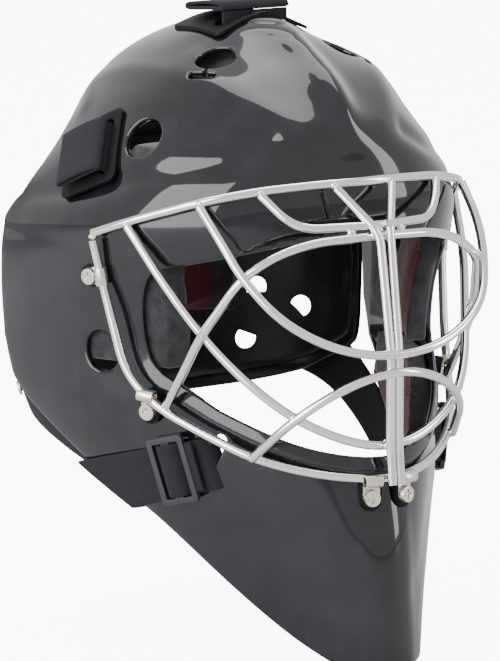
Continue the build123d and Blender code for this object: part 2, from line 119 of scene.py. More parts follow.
def smooth_through(points: Sequence[Sequence[float]], steps: int = 8, closed: bool = False) -> np.ndarray:
    """Draw a smooth line through points.

    Args:
        points: The points, in order.
        steps: Short runs between two of them.
        closed: Whether the line comes back to its start.

    Returns:
        The line's points, one to a row.
    """
    given = np.asarray(points, float)
    count = len(given)
    if closed:
        padded = np.vstack([given[-1], given, given[0], given[1]])
        spans = count
    else:
        padded = np.vstack([2 * given[0] - given[1], given, 2 * given[-1] - given[-2]])
        spans = count - 1
    share = (np.arange(steps) / steps)[:, None]
    line = []
    for span in range(spans):
        p0, p1, p2, p3 = padded[span : span + 4]
        line.append(
            0.5 * (
                2 * p1 + (p2 - p0) * share + (2 * p0 - 5 * p1 + 4 * p2 - p3) * share**2
                + (3 * p1 - p0 - 3 * p2 + p3) * share**3
            )
        )
    if not closed:
        line.append(given[-1:])
    return np.vstack(line)


def arc_through(start: Pair, middle: Pair, end: Pair, steps: int = 20) -> np.ndarray:
    """Draw a shallow arc through three points.

    Args:
        start: Its first point.
        middle: A point half way along it.
        end: Its last point.
        steps: Short runs in it.

    Returns:
        The arc's points.
    """
    share = np.linspace(0, 1, steps + 1)[:, None]
    ends = np.asarray(start) * (1 - share) + np.asarray(end) * share
    rise = np.asarray(middle) - (np.asarray(start) + np.asarray(end)) / 2
    return ends + rise * 4 * share * (1 - share)


# ---------------------------------------------------------------- edges, as distances in millimetres


def inside_outline(points: np.ndarray, outline: np.ndarray) -> np.ndarray:
    """Measure how far flat points lie inside a closed outline.

    Args:
        points: Two coordinates to a row.
        outline: The outline's corners.

    Returns:
        Distances, negative outside.
    """
    nearest = np.full(len(points), np.inf)
    crossings = np.zeros(len(points), bool)
    for start, end in zip(outline, np.roll(outline, -1, axis=0)):
        run = end - start
        length = float(run @ run)
        if length < 1e-9:
            continue
        offset = points - start
        share = np.clip(offset @ run / length, 0, 1)
        gap = offset - share[:, None] * run
        nearest = np.minimum(nearest, np.einsum("ij,ij->i", gap, gap))
        spans = (start[1] > points[:, 1]) != (end[1] > points[:, 1])
        if run[1] != 0:
            reach = start[0] + (points[:, 1] - start[1]) / run[1] * run[0]
            crossings ^= spans & (points[:, 0] < reach)
    return np.where(crossings, 1.0, -1.0) * np.sqrt(nearest)


def line_distance(points: np.ndarray, line: np.ndarray) -> np.ndarray:
    """Measure how far points lie from a line in space.

    Args:
        points: Places, one to a row.
        line: The line's points.

    Returns:
        The distances.
    """
    nearest = np.full(len(points), np.inf)
    for start, end in zip(line, line[1:]):
        run = end - start
        offset = points - start
        share = np.clip(offset @ run / (run @ run), 0, 1)
        gap = offset - share[:, None] * run
        nearest = np.minimum(nearest, np.einsum("ij,ij->i", gap, gap))
    return np.sqrt(nearest)


def on_right(points: np.ndarray) -> np.ndarray:
    """Return the points with those on the wearer's left mirrored to the right."""
    return np.column_stack([-np.abs(points[:, 0]), points[:, 1], points[:, 2]])


@dataclass(frozen=True)
class Opening:
    """A hole with round ends through a moulded wall.

    Attributes:
        place: Its middle on the wearer's right, in millimetres.
        facing: The direction it faces.
        run: The direction of its long side.
        length: Its length, which is its width if it is round.
        width: Its width.
    """

    place: Triple
    facing: Triple
    run: Triple
    length: float
    width: float

    def axes(self) -> tuple[np.ndarray, np.ndarray, np.ndarray]:
        """Return its long, short and outward directions."""
        out = unit(self.facing)
        run = np.asarray(self.run, float)
        run = unit(run - out * (run @ out))
        return run, np.cross(out, run), out

    def clear_of(self, points: np.ndarray) -> np.ndarray:
        """Return how far points lie outside it, on the side where it is and on the mirrored one."""
        run, across, out = self.axes()
        offset = (on_right(points) if self.place[0] else points) - np.asarray(self.place)
        along = np.abs(offset @ run) - (self.length - self.width) / 2
        flat = np.hypot(np.maximum(along, 0), offset @ across) - self.width / 2
        return np.where(np.abs(offset @ out) < OPENING_REACH, flat, FAR_INSIDE)


# ---------------------------------------------------------------- the head form


@dataclass(frozen=True)
class HeadForm:
    """The lofted form that the shell, the liner and the back plate all follow.

    Attributes:
        levels: Height, front, half width, where it is widest, rear, front squareness, rear squareness
            and height of the crown ridge, at each level.
        centre_height: Height of the point that deeper layers shrink towards.
        reach: The form's reach from there, sideways, lengthwise and up.
        ridge_width: Half width of the crown ridge.
    """

    levels: tuple[tuple[float, ...], ...] = (
        (-150, -131, 48, 0, 70, 2.1, 2.2, 0),
        (-120, -129, 60, 10, 90, 1.95, 2.4, 0),
        (-87, -126, 77, 20, 102, 1.8, 2.7, 0),
        (-55, -121, 95, 38, 108, 1.75, 2.8, 0),
        (-25, -117, 105, 52, 110, 1.7, 2.6, 0),
        (5, -115, 107, 58, 112, 1.7, 2.4, 0),
        (30, -108, 107, 60, 112, 1.95, 2.4, 0),
        (50, -98, 105, 58, 112, 2.4, 2.4, 0),
        (68, -95, 101, 50, 110, 2.7, 2.4, 0),
        (80, -94, 93, 35, 108, 2.8, 2.3, 0),
        (92, -92, 86, 18, 106, 2.6, 2.2, 0),
        (104, -91, 79, 8, 103, 2.1, 2.2, 0),
        (115, -87, 72, 5, 98, 1.9, 2.2, 2),
        (125, -74, 64, 5, 90, 2.1, 2.2, 9),
        (135, -58, 53, 5, 80, 2.3, 2.2, 13),
        (143, -42, 40, 5, 66, 2.2, 2.1, 14),
        (149, -32, 27, 5, 50, 2.0, 2.0, 12),
        (154, -24, 14, 0, 30, 2.0, 2.0, 6),
        (157, -12, 3, -8, 5, 2.0, 2.0, 1),
        (157.4, -6, 0.5, -4, -2, 2.0, 2.0, 0),
    )
    centre_height: float = 20.0
    reach: Triple = (100.0, 112.0, 137.0)
    ridge_width: float = 9.0

    def level_at(self, height: np.ndarray) -> np.ndarray:
        """Blend the levels smoothly.

        Args:
            height: Heights in millimetres.

        Returns:
            One column per level value after the height, one row per height.
        """
        table = np.asarray(self.levels, float)
        z, values = table[:, 0], table[:, 1:]
        rise = np.diff(z)[:, None]
        slope = np.diff(values, axis=0) / rise
        inner = (slope[:-1] * rise[1:] + slope[1:] * rise[:-1]) / (rise[1:] + rise[:-1])
        tangent = np.vstack([slope[:1], inner, slope[-1:]])
        height = np.clip(height, z[0], z[-1])
        span = np.clip(np.searchsorted(z, height, side="right") - 1, 0, len(z) - 2)
        step = rise[span]
        share = (height - z[span])[:, None] / step
        return (
            values[span] * (1 + 2 * share) * (1 - share) ** 2
            + tangent[span] * step * share * (1 - share) ** 2
            + values[span + 1] * share**2 * (3 - 2 * share)
            + tangent[span + 1] * step * share**2 * (share - 1)
        )

    def place(self, angle: np.ndarray, height: np.ndarray, depth: float = 0.0) -> np.ndarray:
        """Find points of the form.

        Args:
            angle: Turns round it, 0 at the front and a quarter at the wearer's left.
            height: Heights of the levels before they shrink.
            depth: How far below the outer surface.

        Returns:
            Points in millimetres.
        """
        front, half, widest, rear, front_power, rear_power, ridge = self.level_at(height).T
        sideways, forward = np.sin(tau * angle), np.cos(tau * angle)
        power = np.where(forward > 0, front_power, rear_power)
        reach = np.where(forward > 0, widest - front, rear - widest)
        x = half * np.sign(sideways) * np.abs(sideways) ** (2 / power)
        y = widest - reach * np.sign(forward) * np.abs(forward) ** (2 / power)
        y = y - np.where(forward > 0, ridge * np.exp(-((x / self.ridge_width) ** 2)), 0)
        z = self.centre_height + (height - self.centre_height) * (1 - depth / self.reach[2])
        return np.column_stack([x * (1 - depth / self.reach[0]), y * (1 - depth / self.reach[1]), z])

    def side_point(self, y: np.ndarray, z: np.ndarray, depth: float, side: Side) -> np.ndarray:
        """Find the points of one side that lie at given places in the side view.

        Args:
            y: Places along the mask.
            z: Heights.
            depth: How far below the outer surface.
            side: Which side.

        Returns:
            Points in millimetres.
        """
        y, z = np.broadcast_arrays(np.asarray(y, float), np.asarray(z, float))
        own_y = y.ravel() / (1 - depth / self.reach[1])
        own_z = self.centre_height + (z.ravel() - self.centre_height) / (1 - depth / self.reach[2])
        front, half, widest, rear, front_power, rear_power, _ = self.level_at(own_z).T
        ahead = own_y < widest
        reach = np.where(ahead, widest - front, rear - widest)
        power = np.where(ahead, front_power, rear_power)
        share = np.clip(np.abs((own_y - widest) / reach), 0, 0.9999)
        x = side.value * half * (1 - share**power) ** (1 / power) * (1 - depth / self.reach[0])
        return np.stack([x.reshape(y.shape), y, z], axis=-1)

    def rear_line(self, depth: float) -> np.ndarray:
        """Return the form's middle line over the crown and down the back, as points (y, z)."""
        height = np.linspace(157.3, -40, 300)
        points = self.place(np.full(300, 0.5), height, depth)
        return points[:, 1:]


FORM = HeadForm()


# ---------------------------------------------------------------- meshes


def mesh_object(name: str, points: np.ndarray, faces: Sequence[Sequence[int]]) -> bpy.types.Object:
    """Make an object from points in millimetres.

    Args:
        name: Its name.
        points: Its points.
        faces: Its faces.

    Returns:
        The object, smooth shaded.
    """
    mesh = bpy.data.meshes.new(name)
    mesh.from_pydata((np.asarray(points) * MM).tolist(), [], [list(face) for face in faces])
    mesh.validate()
    mesh.polygons.foreach_set("use_smooth", [True] * len(mesh.polygons))
    piece = bpy.data.objects.new(name, mesh)
    bpy.context.scene.collection.objects.link(piece)
    return piece


def select_none() -> None:
    """Deselect every object."""
    for other in bpy.data.objects:
        other.select_set(False)


def select_only(piece: bpy.types.Object) -> None:
    """Select one object and nothing else."""
    select_none()
    piece.select_set(True)
    bpy.context.view_layer.objects.active = piece


@contextmanager
def editing(piece: bpy.types.Object) -> Iterator[None]:
    """Open one object in edit mode with all of it selected, and leave edit mode afterwards."""
    select_only(piece)
    bpy.ops.object.mode_set(mode="EDIT")
    bpy.ops.mesh.select_all(action="SELECT")
    yield
    bpy.ops.object.mode_set(mode="OBJECT")


def cad_copy(node: str, ending: str) -> bpy.types.Object:
    """Copy a CAD node and link the copy.

    Args:
        node: The node's name.
        ending: Word added to it for the copy's name.

    Returns:
        The copy.
    """
    piece = bpy.data.objects.new(f"{node}_{ending}", frame["nodes"][node].data.copy())
    bpy.context.scene.collection.objects.link(piece)
    return piece


def apply_modifier(piece: bpy.types.Object, kind: str, **settings: object) -> None:
    """Add a modifier with its settings, and apply it.

    Args:
        piece: The object.
        kind: The modifier's type.
        **settings: Its settings.
    """
    select_only(piece)
    modifier = piece.modifiers.new(kind.title(), kind)
    for key, value in settings.items():
        setattr(modifier, key, value)
    bpy.ops.object.modifier_apply(modifier=modifier.name)


def softened_copy(node: str, bevel: float, segments: int = 2, angle: float = 38.0) -> bpy.types.Object:
    """Copy a CAD node and round its sharp edges.

    Args:
        node: The node's name.
        bevel: Width of the rounding, in millimetres.
        segments: Steps in the rounding.
        angle: Edges that turn by more than this many degrees are rounded.

    Returns:
        The copy.
    """
    piece = cad_copy(node, "finished")
    with editing(piece):
        bpy.ops.mesh.remove_doubles(threshold=MERGE)
        bpy.ops.mesh.dissolve_limited(angle_limit=radians(0.5))
    apply_modifier(
        piece, "BEVEL", width=bevel * MM, segments=segments, limit_method="ANGLE",
        angle_limit=radians(angle), harden_normals=False,
    )
    select_only(piece)
    bpy.ops.object.shade_smooth_by_angle(angle=radians(28))
    return piece


@dataclass
class MouldedSheet:
    """A wall of even thickness that follows a surface, with rounded rims.

    Attributes:
        surface: Gives the points of its outer face from two numbers.
        keep: How far inside its edges a point lies.
        wall: Its thickness.
        rim: Radius of the rounding at its rims.
        closed: Whether the first number comes back to its start.
        nudge: Step in either number that slopes are measured over.
        slides: Steps in which a rim point finds its line.
        stride: The most cells that it moves in one of them.
    """

    surface: Callable[[np.ndarray, np.ndarray], np.ndarray]
    keep: Field
    wall: float
    rim: float
    closed: bool = False
    nudge: float = 2e-4
    slides: int = 8
    stride: float = 1.2

    def frame_at(self, u: np.ndarray, v: np.ndarray) -> tuple[np.ndarray, np.ndarray, np.ndarray]:
        """Return the outer points there and how they move with each number."""
        here = self.surface(u, v)
        along_u = (self.surface(u + self.nudge, v) - here) / self.nudge
        along_v = (self.surface(u, v + self.nudge) - here) / self.nudge
        return here, along_u, along_v

    def normals(self, u: np.ndarray, v: np.ndarray) -> np.ndarray:
        """Return the outward directions there."""
        _, along_u, along_v = self.frame_at(u, v)
        return units(np.cross(along_u, along_v))

    def to_edge(
        self, u: np.ndarray, v: np.ndarray, cell: Pair
    ) -> tuple[np.ndarray, np.ndarray, np.ndarray]:
        """Slide points over the surface on to the line where the rim's rounding starts.

        Args:
            u: Their first numbers.
            v: Their second numbers.
            cell: Size of one grid cell in both numbers.

        Returns:
            The new numbers, and the direction out over the edge at each.
        """
        for _ in range(self.slides):
            here, along_u, along_v = self.frame_at(u, v)
            inside = self.keep(here)
            slope_u = (self.keep(self.surface(u + self.nudge, v)) - inside) / self.nudge
            slope_v = (self.keep(self.surface(u, v + self.nudge)) - inside) / self.nudge
            uu = np.einsum("ij,ij->i", along_u, along_u)
            vv = np.einsum("ij,ij->i", along_v, along_v)
            uv = np.einsum("ij,ij->i", along_u, along_v)
            spread = np.maximum(uu * vv - uv**2, 1e-9)
            rise_u = (vv * slope_u - uv * slope_v) / spread
            rise_v = (uu * slope_v - uv * slope_u) / spread
            rise = np.maximum(rise_u * slope_u + rise_v * slope_v, 1e-3)
            step = (inside - self.rim) / rise
            most_u, most_v = self.stride * cell[0], self.stride * cell[1]
            u = u - np.clip(step * rise_u, -most_u, most_u)
            v = v - np.clip(step * rise_v, -most_v, most_v)
        outward = -units(rise_u[:, None] * along_u + rise_v[:, None] * along_v)
        return u, v, outward

    def build(self, name: str, u_lines: np.ndarray, v_lines: np.ndarray) -> bpy.types.Object:
        """Make the sheet.

        Args:
            name: The object's name.
            u_lines: First numbers of the grid.
            v_lines: Second numbers of the grid.

        Returns:
            The object.
        """
        columns, rows = len(u_lines), len(v_lines)
        u = np.repeat(u_lines, rows)
        v = np.tile(v_lines, columns)
        spans = columns if self.closed else columns - 1
        left = (np.arange(spans)[:, None] * rows + np.arange(rows - 1)).ravel()
        right = ((np.arange(spans)[:, None] + 1) % columns * rows + np.arange(rows - 1)).ravel()
        quads = np.column_stack([left, right, right + 1, left + 1])
        middles = self.surface(u, v)[quads].mean(axis=1)
        quads = quads[self.keep(middles) > self.rim]
        used, quads = np.unique(quads, return_inverse=True)
        quads = quads.reshape(-1, 4)
        u, v = u[used], v[used]
        edges = np.vstack([quads[:, [0, 1]], quads[:, [1, 2]], quads[:, [2, 3]], quads[:, [3, 0]]])
        count = len(used)
        key = np.sort(edges, axis=1) @ np.array([count, 1])
        _, first, times = np.unique(key, return_index=True, return_counts=True)
        rim_edges = edges[first[times == 1]]
        on_rim = np.unique(rim_edges)
        cell = (float(u_lines[1] - u_lines[0]), float(np.mean(np.diff(v_lines))))
        u[on_rim], v[on_rim], outward = self.to_edge(u[on_rim], v[on_rim], cell)
        outer = self.surface(u, v)
        out = self.normals(u, v)
        inner = outer - out * self.wall
        points = [outer, inner]
        faces = [tuple(quad) for quad in quads] + [tuple(quad[::-1] + count) for quad in quads]
        turns = np.radians([22.5, 45, 67.5, 90])
        top = out[on_rim] * self.rim
        side = outward * self.rim
        rounding = [outer[on_rim] + top * (cos(turn) - 1) + side * sin(turn) for turn in turns]
        rounding += [
            inner[on_rim] + top * (1 - sin(turn)) + side * cos(turn) for turn in turns - turns[0]
        ]
        points += rounding
        size = len(on_rim)
        starts = [2 * count + row * size for row in range(len(rounding))]
        rim_rows = [on_rim, *(np.arange(start, start + size) for start in starts), on_rim + count]
        index = np.full(count, -1)
        index[on_rim] = np.arange(len(on_rim))
        start, end = index[rim_edges[:, 0]], index[rim_edges[:, 1]]
        for upper, lower in zip(rim_rows, rim_rows[1:]):
            faces += [(upper[b], upper[a], lower[a], lower[b]) for a, b in zip(start, end)]
        return mesh_object(name, np.vstack(points), faces)


@dataclass
class Strap:
    """Flat woven webbing that follows a grid of points.

    Attributes:
        name: The object's name.
        middle: Points of its middle layer, rows along it and columns across it.
        thickness: Its thickness.
    """

    name: str
    middle: np.ndarray
    thickness: float = 1.9

    def build(self) -> bpy.types.Object:
        """Make the strap, with rounded selvedges and a UV map in millimetres.

        Returns:
            The object.
        """
        grid = self.middle
        rows, columns, _ = grid.shape
        along = np.gradient(grid, axis=0)
        across = np.gradient(grid, axis=1)
        out = units(np.cross(across, along))
        half = self.thickness / 2
        rounding = [radians(angle) for angle in (50, 90, 130)]
        edge = units(across[:, -1])
        right = [grid[:, -1] + out[:, -1] * half * cos(turn) + edge * half * sin(turn) for turn in rounding]
        edge = units(-across[:, 0])
        left = [grid[:, 0] - out[:, 0] * half * cos(turn) + edge * half * sin(turn) for turn in rounding]
        over_side, under_side = grid + out * half, (grid - out * half)[:, ::-1]
        ring = np.concatenate([over_side, np.stack(right, 1), under_side, np.stack(left, 1)], axis=1)
        size = ring.shape[1]
        steps = np.linalg.norm(np.diff(grid[:, columns // 2], axis=0), axis=1)
        distance = np.concatenate([[0], np.cumsum(steps)])
        width = float(np.mean(np.linalg.norm(grid[:, -1] - grid[:, 0], axis=1)))
        over = np.linspace(0, width, columns)
        lap = np.concatenate([over, [width + 0.5, width + 1, width + 0.5], over[::-1], [-0.5, -1, -0.5]])
        faces = []
        for row in range(rows - 1):
            for column in range(size):
                following = (column + 1) % size
                faces.append(
                    (row * size + column, row * size + following,
                     (row + 1) * size + following, (row + 1) * size + column)
                )  # fmt: skip
        faces.append(tuple(range(size))[::-1])
        faces.append(tuple((rows - 1) * size + column for column in range(size)))
        piece = mesh_object(self.name, ring.reshape(-1, 3), faces)
        layer = piece.data.uv_layers.new(name="weave")
        for loop in piece.data.loops:
            row, column = divmod(loop.vertex_index, size)
            layer.data[loop.index].uv = (lap[column], distance[row])
        with editing(piece):
            bpy.ops.mesh.normals_make_consistent(inside=False)
        return piece


# ---------------------------------------------------------------- finishes


def hex_colour(code: str) -> tuple[float, float, float, float]:
    """Turn an sRGB hex colour to linear.

    Args:
        code: Six hex digits.

    Returns:
        Red, green, blue and alpha.
    """
    channels = [int(code[start : start + 2], 16) / 255 for start in (0, 2, 4)]
    linear = [value / 12.92 if value <= 0.04045 else ((value + 0.055) / 1.055) ** 2.4 for value in channels]
    return (*linear, 1.0)


def add_node(
    tree: bpy.types.NodeTree, kind: str, settings: dict | None = None, links: dict | None = None
) -> bpy.types.Node:
    """Add a node.

    Args:
        tree: The node tree.
        kind: The node's type.
        settings: Its own settings, and values of its sockets, by name.
        links: Its sockets, by name, and the outputs that feed them.

    Returns:
        The node.
    """
    node = tree.nodes.new(kind)
    for key, value in (settings or {}).items():
        if isinstance(key, str) and hasattr(node, key):
            setattr(node, key, value)
        else:
            node.inputs[key].default_value = value
    for key, source in (links or {}).items():
        tree.links.new(source, node.inputs[key])
    return node


@dataclass(frozen=True)
class Finish:
    """What every finish has.

    Attributes:
        name: What the material is and how its surface was made.
        slot: The record's material slot it stands for; not used.
        colour: Its sRGB colour.
        roughness: Its roughness.
    """

    name: str
    slot: str
    colour: str
    roughness: float

    def material(self) -> bpy.types.Material:
        """Return the material, made the first time it is asked for."""
        known = bpy.data.materials.get(self.name)
        if known:
            return known
        made = bpy.data.materials.new(self.name)
        made.use_nodes = True
        shader = made.node_tree.nodes["Principled BSDF"]
        shader.inputs["Base Color"].default_value = hex_colour(self.colour)
        shader.inputs["Roughness"].default_value = self.roughness
        self.dress(made.node_tree, shader)
        return made

    def dress(self, tree: bpy.types.NodeTree, shader: bpy.types.Node) -> None:
        """Add this finish's own nodes; a plain finish has none."""

    def bump(
        self, tree: bpy.types.NodeTree, shader: bpy.types.Node, height: bpy.types.NodeSocket,
        strength: float, distance: float,
    ) -> None:
        """Raise the surface by a height pattern.

        Args:
            tree: The node tree.
            shader: Its shader.
            height: The pattern's output.
            strength: How strongly it acts.
            distance: Its full height in millimetres.
        """  # fmt: skip
        node = add_node(
            tree, "ShaderNodeBump", {"Strength": strength, "Distance": distance * MM}, {"Height": height}
        )
        tree.links.new(node.outputs["Normal"], shader.inputs["Normal"])

    def blend_colour(
        self, tree: bpy.types.NodeTree, shader: bpy.types.Node, factor: bpy.types.NodeSocket,
        other: str, low: float, high: float,
    ) -> None:
        """Vary the colour by a pattern.

        Args:
            tree: The node tree.
            shader: Its shader.
            factor: The pattern's output.
            other: The sRGB colour where the pattern is high.
            low: Pattern value that still has the finish's own colour.
            high: Pattern value that has all of the other colour.
        """  # fmt: skip
        ramp = add_node(tree, "ShaderNodeValToRGB", {}, {"Fac": factor})
        first, second = ramp.color_ramp.elements
        first.position, first.color = low, hex_colour(self.colour)
        second.position, second.color = high, hex_colour(other)
        tree.links.new(ramp.outputs["Color"], shader.inputs["Base Color"])


def object_noise(tree: bpy.types.NodeTree, size: float, detail: float = 2.0) -> bpy.types.NodeSocket:
    """Add noise on Object coordinates.

    Args:
        tree: The node tree.
        size: Size of its features in millimetres.
        detail: Layers of finer noise.

    Returns:
        Its output.
    """
    where = add_node(tree, "ShaderNodeTexCoord")
    noise = add_node(
        tree, "ShaderNodeTexNoise", {"Scale": 1 / (size * MM), "Detail": detail},
        {"Vector": where.outputs["Object"]},
    )
    return noise.outputs["Fac"]


@dataclass(frozen=True)
class GlossLacquer(Finish):
    """Fibre composite under clear gloss lacquer: deep black, sharp reflections, a faint orange peel."""

    def dress(self, tree: bpy.types.NodeTree, shader: bpy.types.Node) -> None:
        """Add the clear coat, the orange peel and a little dust in the lacquer."""
        shader.inputs["Specular IOR Level"].default_value = 0.08
        shader.inputs["Coat Weight"].default_value = 1.0
        shader.inputs["Coat Roughness"].default_value = 0.03
        shader.inputs["Coat IOR"].default_value = 1.48
        self.blend_colour(tree, shader, object_noise(tree, 14.0, 5.0), "17191d", 0.35, 0.8)
        self.bump(tree, shader, object_noise(tree, 3.5, 1.0), 0.05, 0.05)


@dataclass(frozen=True)
class PolishedWire(Finish):
    """Stainless wire, drawn and then electro-polished: bright, with faint draw marks."""

    def dress(self, tree: bpy.types.NodeTree, shader: bpy.types.Node) -> None:
        """Add the metal and its faint unevenness."""
        shader.inputs["Metallic"].default_value = 1.0
        marks = object_noise(tree, 1.2, 3.0)
        spread = add_node(
            tree, "ShaderNodeMapRange",
            {"To Min": self.roughness * 0.7, "To Max": self.roughness * 1.5}, {"Value": marks},
        )
        tree.links.new(spread.outputs["Result"], shader.inputs["Roughness"])
        self.bump(tree, shader, marks, 0.1, 0.03)


@dataclass(frozen=True)
class PlatedSheet(Finish):
    """Zinc or nickel plated steel, pressed or headed: bright, a little warm, with soft scuffs."""

    def dress(self, tree: bpy.types.NodeTree, shader: bpy.types.Node) -> None:
        """Add the plating and the scuffs that blur it."""
        shader.inputs["Metallic"].default_value = 1.0
        scuffs = object_noise(tree, 2.0, 6.0)
        spread = add_node(
            tree, "ShaderNodeMapRange",
            {"To Min": self.roughness * 0.6, "To Max": self.roughness * 1.8}, {"Value": scuffs},
        )
        tree.links.new(spread.outputs["Result"], shader.inputs["Roughness"])
        self.blend_colour(tree, shader, scuffs, "c9c2b2", 0.45, 0.75)
        self.bump(tree, shader, scuffs, 0.12, 0.05)


@dataclass(frozen=True)
class MouldedPlastic(Finish):
    """Injection moulded plastic or rubber with a fine spark-eroded grain.

    Attributes:
        grain: Size of the grain in millimetres, drawn a little coarser than it is so that it shows.
        relief: Height of the grain in millimetres.
        gloss: How strongly it reflects.
        flow: Colour of the flow marks.
    """

    grain: float = 0.8
    relief: float = 0.06
    gloss: float = 0.35
    flow: str = "26272a"

    def dress(self, tree: bpy.types.NodeTree, shader: bpy.types.Node) -> None:
        """Add the grain and the faint flow marks."""
        shader.inputs["Specular IOR Level"].default_value = self.gloss
        self.blend_colour(tree, shader, object_noise(tree, 9.0, 3.0), self.flow, 0.45, 0.95)
        self.bump(tree, shader, object_noise(tree, self.grain, 2.0), 0.35, self.relief)


@dataclass(frozen=True)
class WovenWebbing(Finish):
    """Polypropylene webbing, flat woven: matt, with ribs across and fine threads along.

    Attributes:
        rib: Spacing of the weft ribs in millimetres.
        thread: Spacing of the warp threads in millimetres, drawn coarser than they are so that they show.
    """

    rib: float = 1.5
    thread: float = 1.1

    def dress(self, tree: bpy.types.NodeTree, shader: bpy.types.Node) -> None:
        """Add ribs and threads on the strap's own UV map, which is in millimetres, with painted shade in
        their hollows.
        """
        shader.inputs["Sheen Weight"].default_value = 0.03
        shader.inputs["Sheen Roughness"].default_value = 0.5
        shader.inputs["Specular IOR Level"].default_value = 0.12
        where = add_node(tree, "ShaderNodeUVMap", {"uv_map": "weave"})
        parts = add_node(tree, "ShaderNodeSeparateXYZ", {}, {"Vector": where.outputs["UV"]})
        warp = add_node(
            tree, "ShaderNodeMath", {"operation": "MULTIPLY", 1: tau / self.thread}, {0: parts.outputs["X"]}
        )
        weft = add_node(
            tree, "ShaderNodeMath", {"operation": "MULTIPLY", 1: tau / self.rib}, {0: parts.outputs["Y"]}
        )
        warp_wave = add_node(tree, "ShaderNodeMath", {"operation": "SINE"}, {0: warp.outputs["Value"]})
        weft_wave = add_node(tree, "ShaderNodeMath", {"operation": "SINE"}, {0: weft.outputs["Value"]})
        basket = add_node(
            tree, "ShaderNodeMath", {"operation": "MULTIPLY"},
            {0: warp_wave.outputs["Value"], 1: weft_wave.outputs["Value"]},
        )
        height = add_node(
            tree, "ShaderNodeMath", {"operation": "MULTIPLY_ADD", 1: 0.5, 2: 0.5},
            {0: basket.outputs["Value"]},
        )
        # painted shade and highlight: the weave's hollows are painted darker and its raised threads
        # lighter, by the same height pattern as the bump
        self.blend_colour(tree, shader, height.outputs["Value"], "2c2d30", 0.1, 0.95)
        self.bump(tree, shader, height.outputs["Value"], 0.6, 0.25)


@dataclass(frozen=True)
class KnitCloth(Finish):
    """Brushed knit over foam: matt black, with a soft nap and fine loops.

    Attributes:
        loop: Size of the loops in millimetres, drawn coarser than they are so that they show.
    """

    loop: float = 1.3

    def dress(self, tree: bpy.types.NodeTree, shader: bpy.types.Node) -> None:
        """Add the loops, the nap and the sheen."""
        shader.inputs["Sheen Weight"].default_value = 0.35
        shader.inputs["Specular IOR Level"].default_value = 0.2
        where = add_node(tree, "ShaderNodeTexCoord")
        loops = add_node(
            tree, "ShaderNodeTexVoronoi", {"Scale": 1 / (self.loop * MM), "Randomness": 0.6},
            {"Vector": where.outputs["Object"]},
        )
        self.blend_colour(tree, shader, object_noise(tree, 6.0, 6.0), "303134", 0.35, 0.8)
        self.bump(tree, shader, loops.outputs["Distance"], 0.5, 0.4)


@dataclass(frozen=True)
class SpacerMesh(Finish):
    """Dark red knitted spacer mesh over foam, with round holes painted dark: the layer below, with painted
    shade in their depth.

    Attributes:
        pitch: Spacing of the holes in millimetres.
    """

    pitch: float = 2.1

    def dress(self, tree: bpy.types.NodeTree, shader: bpy.types.Node) -> None:
        """Add the holes, lower than the knit round them and painted darker: the layer below, with painted
        shade in them.
        """
        shader.inputs["Sheen Weight"].default_value = 0.3
        shader.inputs["Specular IOR Level"].default_value = 0.25
        where = add_node(tree, "ShaderNodeTexCoord")
        cells = add_node(
            tree, "ShaderNodeTexVoronoi", {"Scale": 1 / (self.pitch * MM), "Randomness": 0.25},
            {"Vector": where.outputs["Object"]},
        )
        # painted shade: the hole middles are painted near black red, partly the darker layer below and
        # partly shade in the holes
        ramp = add_node(tree, "ShaderNodeValToRGB", {}, {"Fac": cells.outputs["Distance"]})
        first, second = ramp.color_ramp.elements
        first.position, first.color = 0.22, hex_colour("160507")
        second.position, second.color = 0.38, hex_colour(self.colour)
        tree.links.new(ramp.outputs["Color"], shader.inputs["Base Color"])
        self.bump(tree, shader, cells.outputs["Distance"], 0.7, 0.6)


SHELL_LACQUER = GlossLacquer("composite_gloss_lacquered", "shell", "0c0d10", 0.16)
CAGE_STAINLESS = PolishedWire("stainless_wire_polished", "cage_wire", "e9e8e4", 0.09)
CLIP_PLATED = PlatedSheet("steel_nickel_plated", "clip_steel", "e2ded4", 0.2)
CLIP_RUBBER = MouldedPlastic(
    "rubber_moulded_black", "clip_rubber", "090a0a", 0.62, 1.0, 0.05, 0.15, "121314"
)
LINER_KNIT = KnitCloth("knit_cloth_black", "liner", "17181a", 0.9)
LINER_MESH = SpacerMesh("spacer_mesh_dark_red", "liner_mesh", "4c0d17", 0.85)
BAND_KNIT = KnitCloth("brushed_knit_black", "sweatband", "1c1d20", 0.95, 0.9)
PLATE_PLASTIC = MouldedPlastic("polyethylene_moulded_black", "back_plate", "121315", 0.34, 1.2, 0.04)
RIVET_SATIN = PlatedSheet("aluminium_satin_headed", "rivet", "b9b9b7", 0.32)
WEBBING_BLACK = WovenWebbing("polypropylene_webbing_woven", "webbing", "0e0f11", 0.85)
SLIDER_PLASTIC = MouldedPlastic("acetal_moulded_black", "slider", "232427", 0.42, 0.9, 0.05, 0.5, "2c2d31")
HOOK_PLASTIC = MouldedPlastic(
    "nylon_moulded_black", "hook_plastic", "08090a", 0.5, 0.9, 0.05, 0.15, "101113"
)


def finish_piece(
    piece: bpy.types.Object, finish: Finish, body: Body | None, *nodes: str
) -> bpy.types.Object:
    """Give a piece its material, its body and the nodes it stands for.

    Args:
        piece: The piece.
        finish: Its finish.
        body: The body it rides on, or nothing for a piece that runs between two bodies.
        *nodes: CAD nodes that it replaces.

    Returns:
        The piece.
    """
    piece.data.materials.clear()
    piece.data.materials.append(finish.material())
    if body:
        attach(piece, body.value)
    if nodes:
        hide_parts(*nodes)
    log.info("%s: %d faces, %s", piece.name, len(piece.data.polygons), finish.name)
    return piece


# ---------------------------------------------------------------- shell


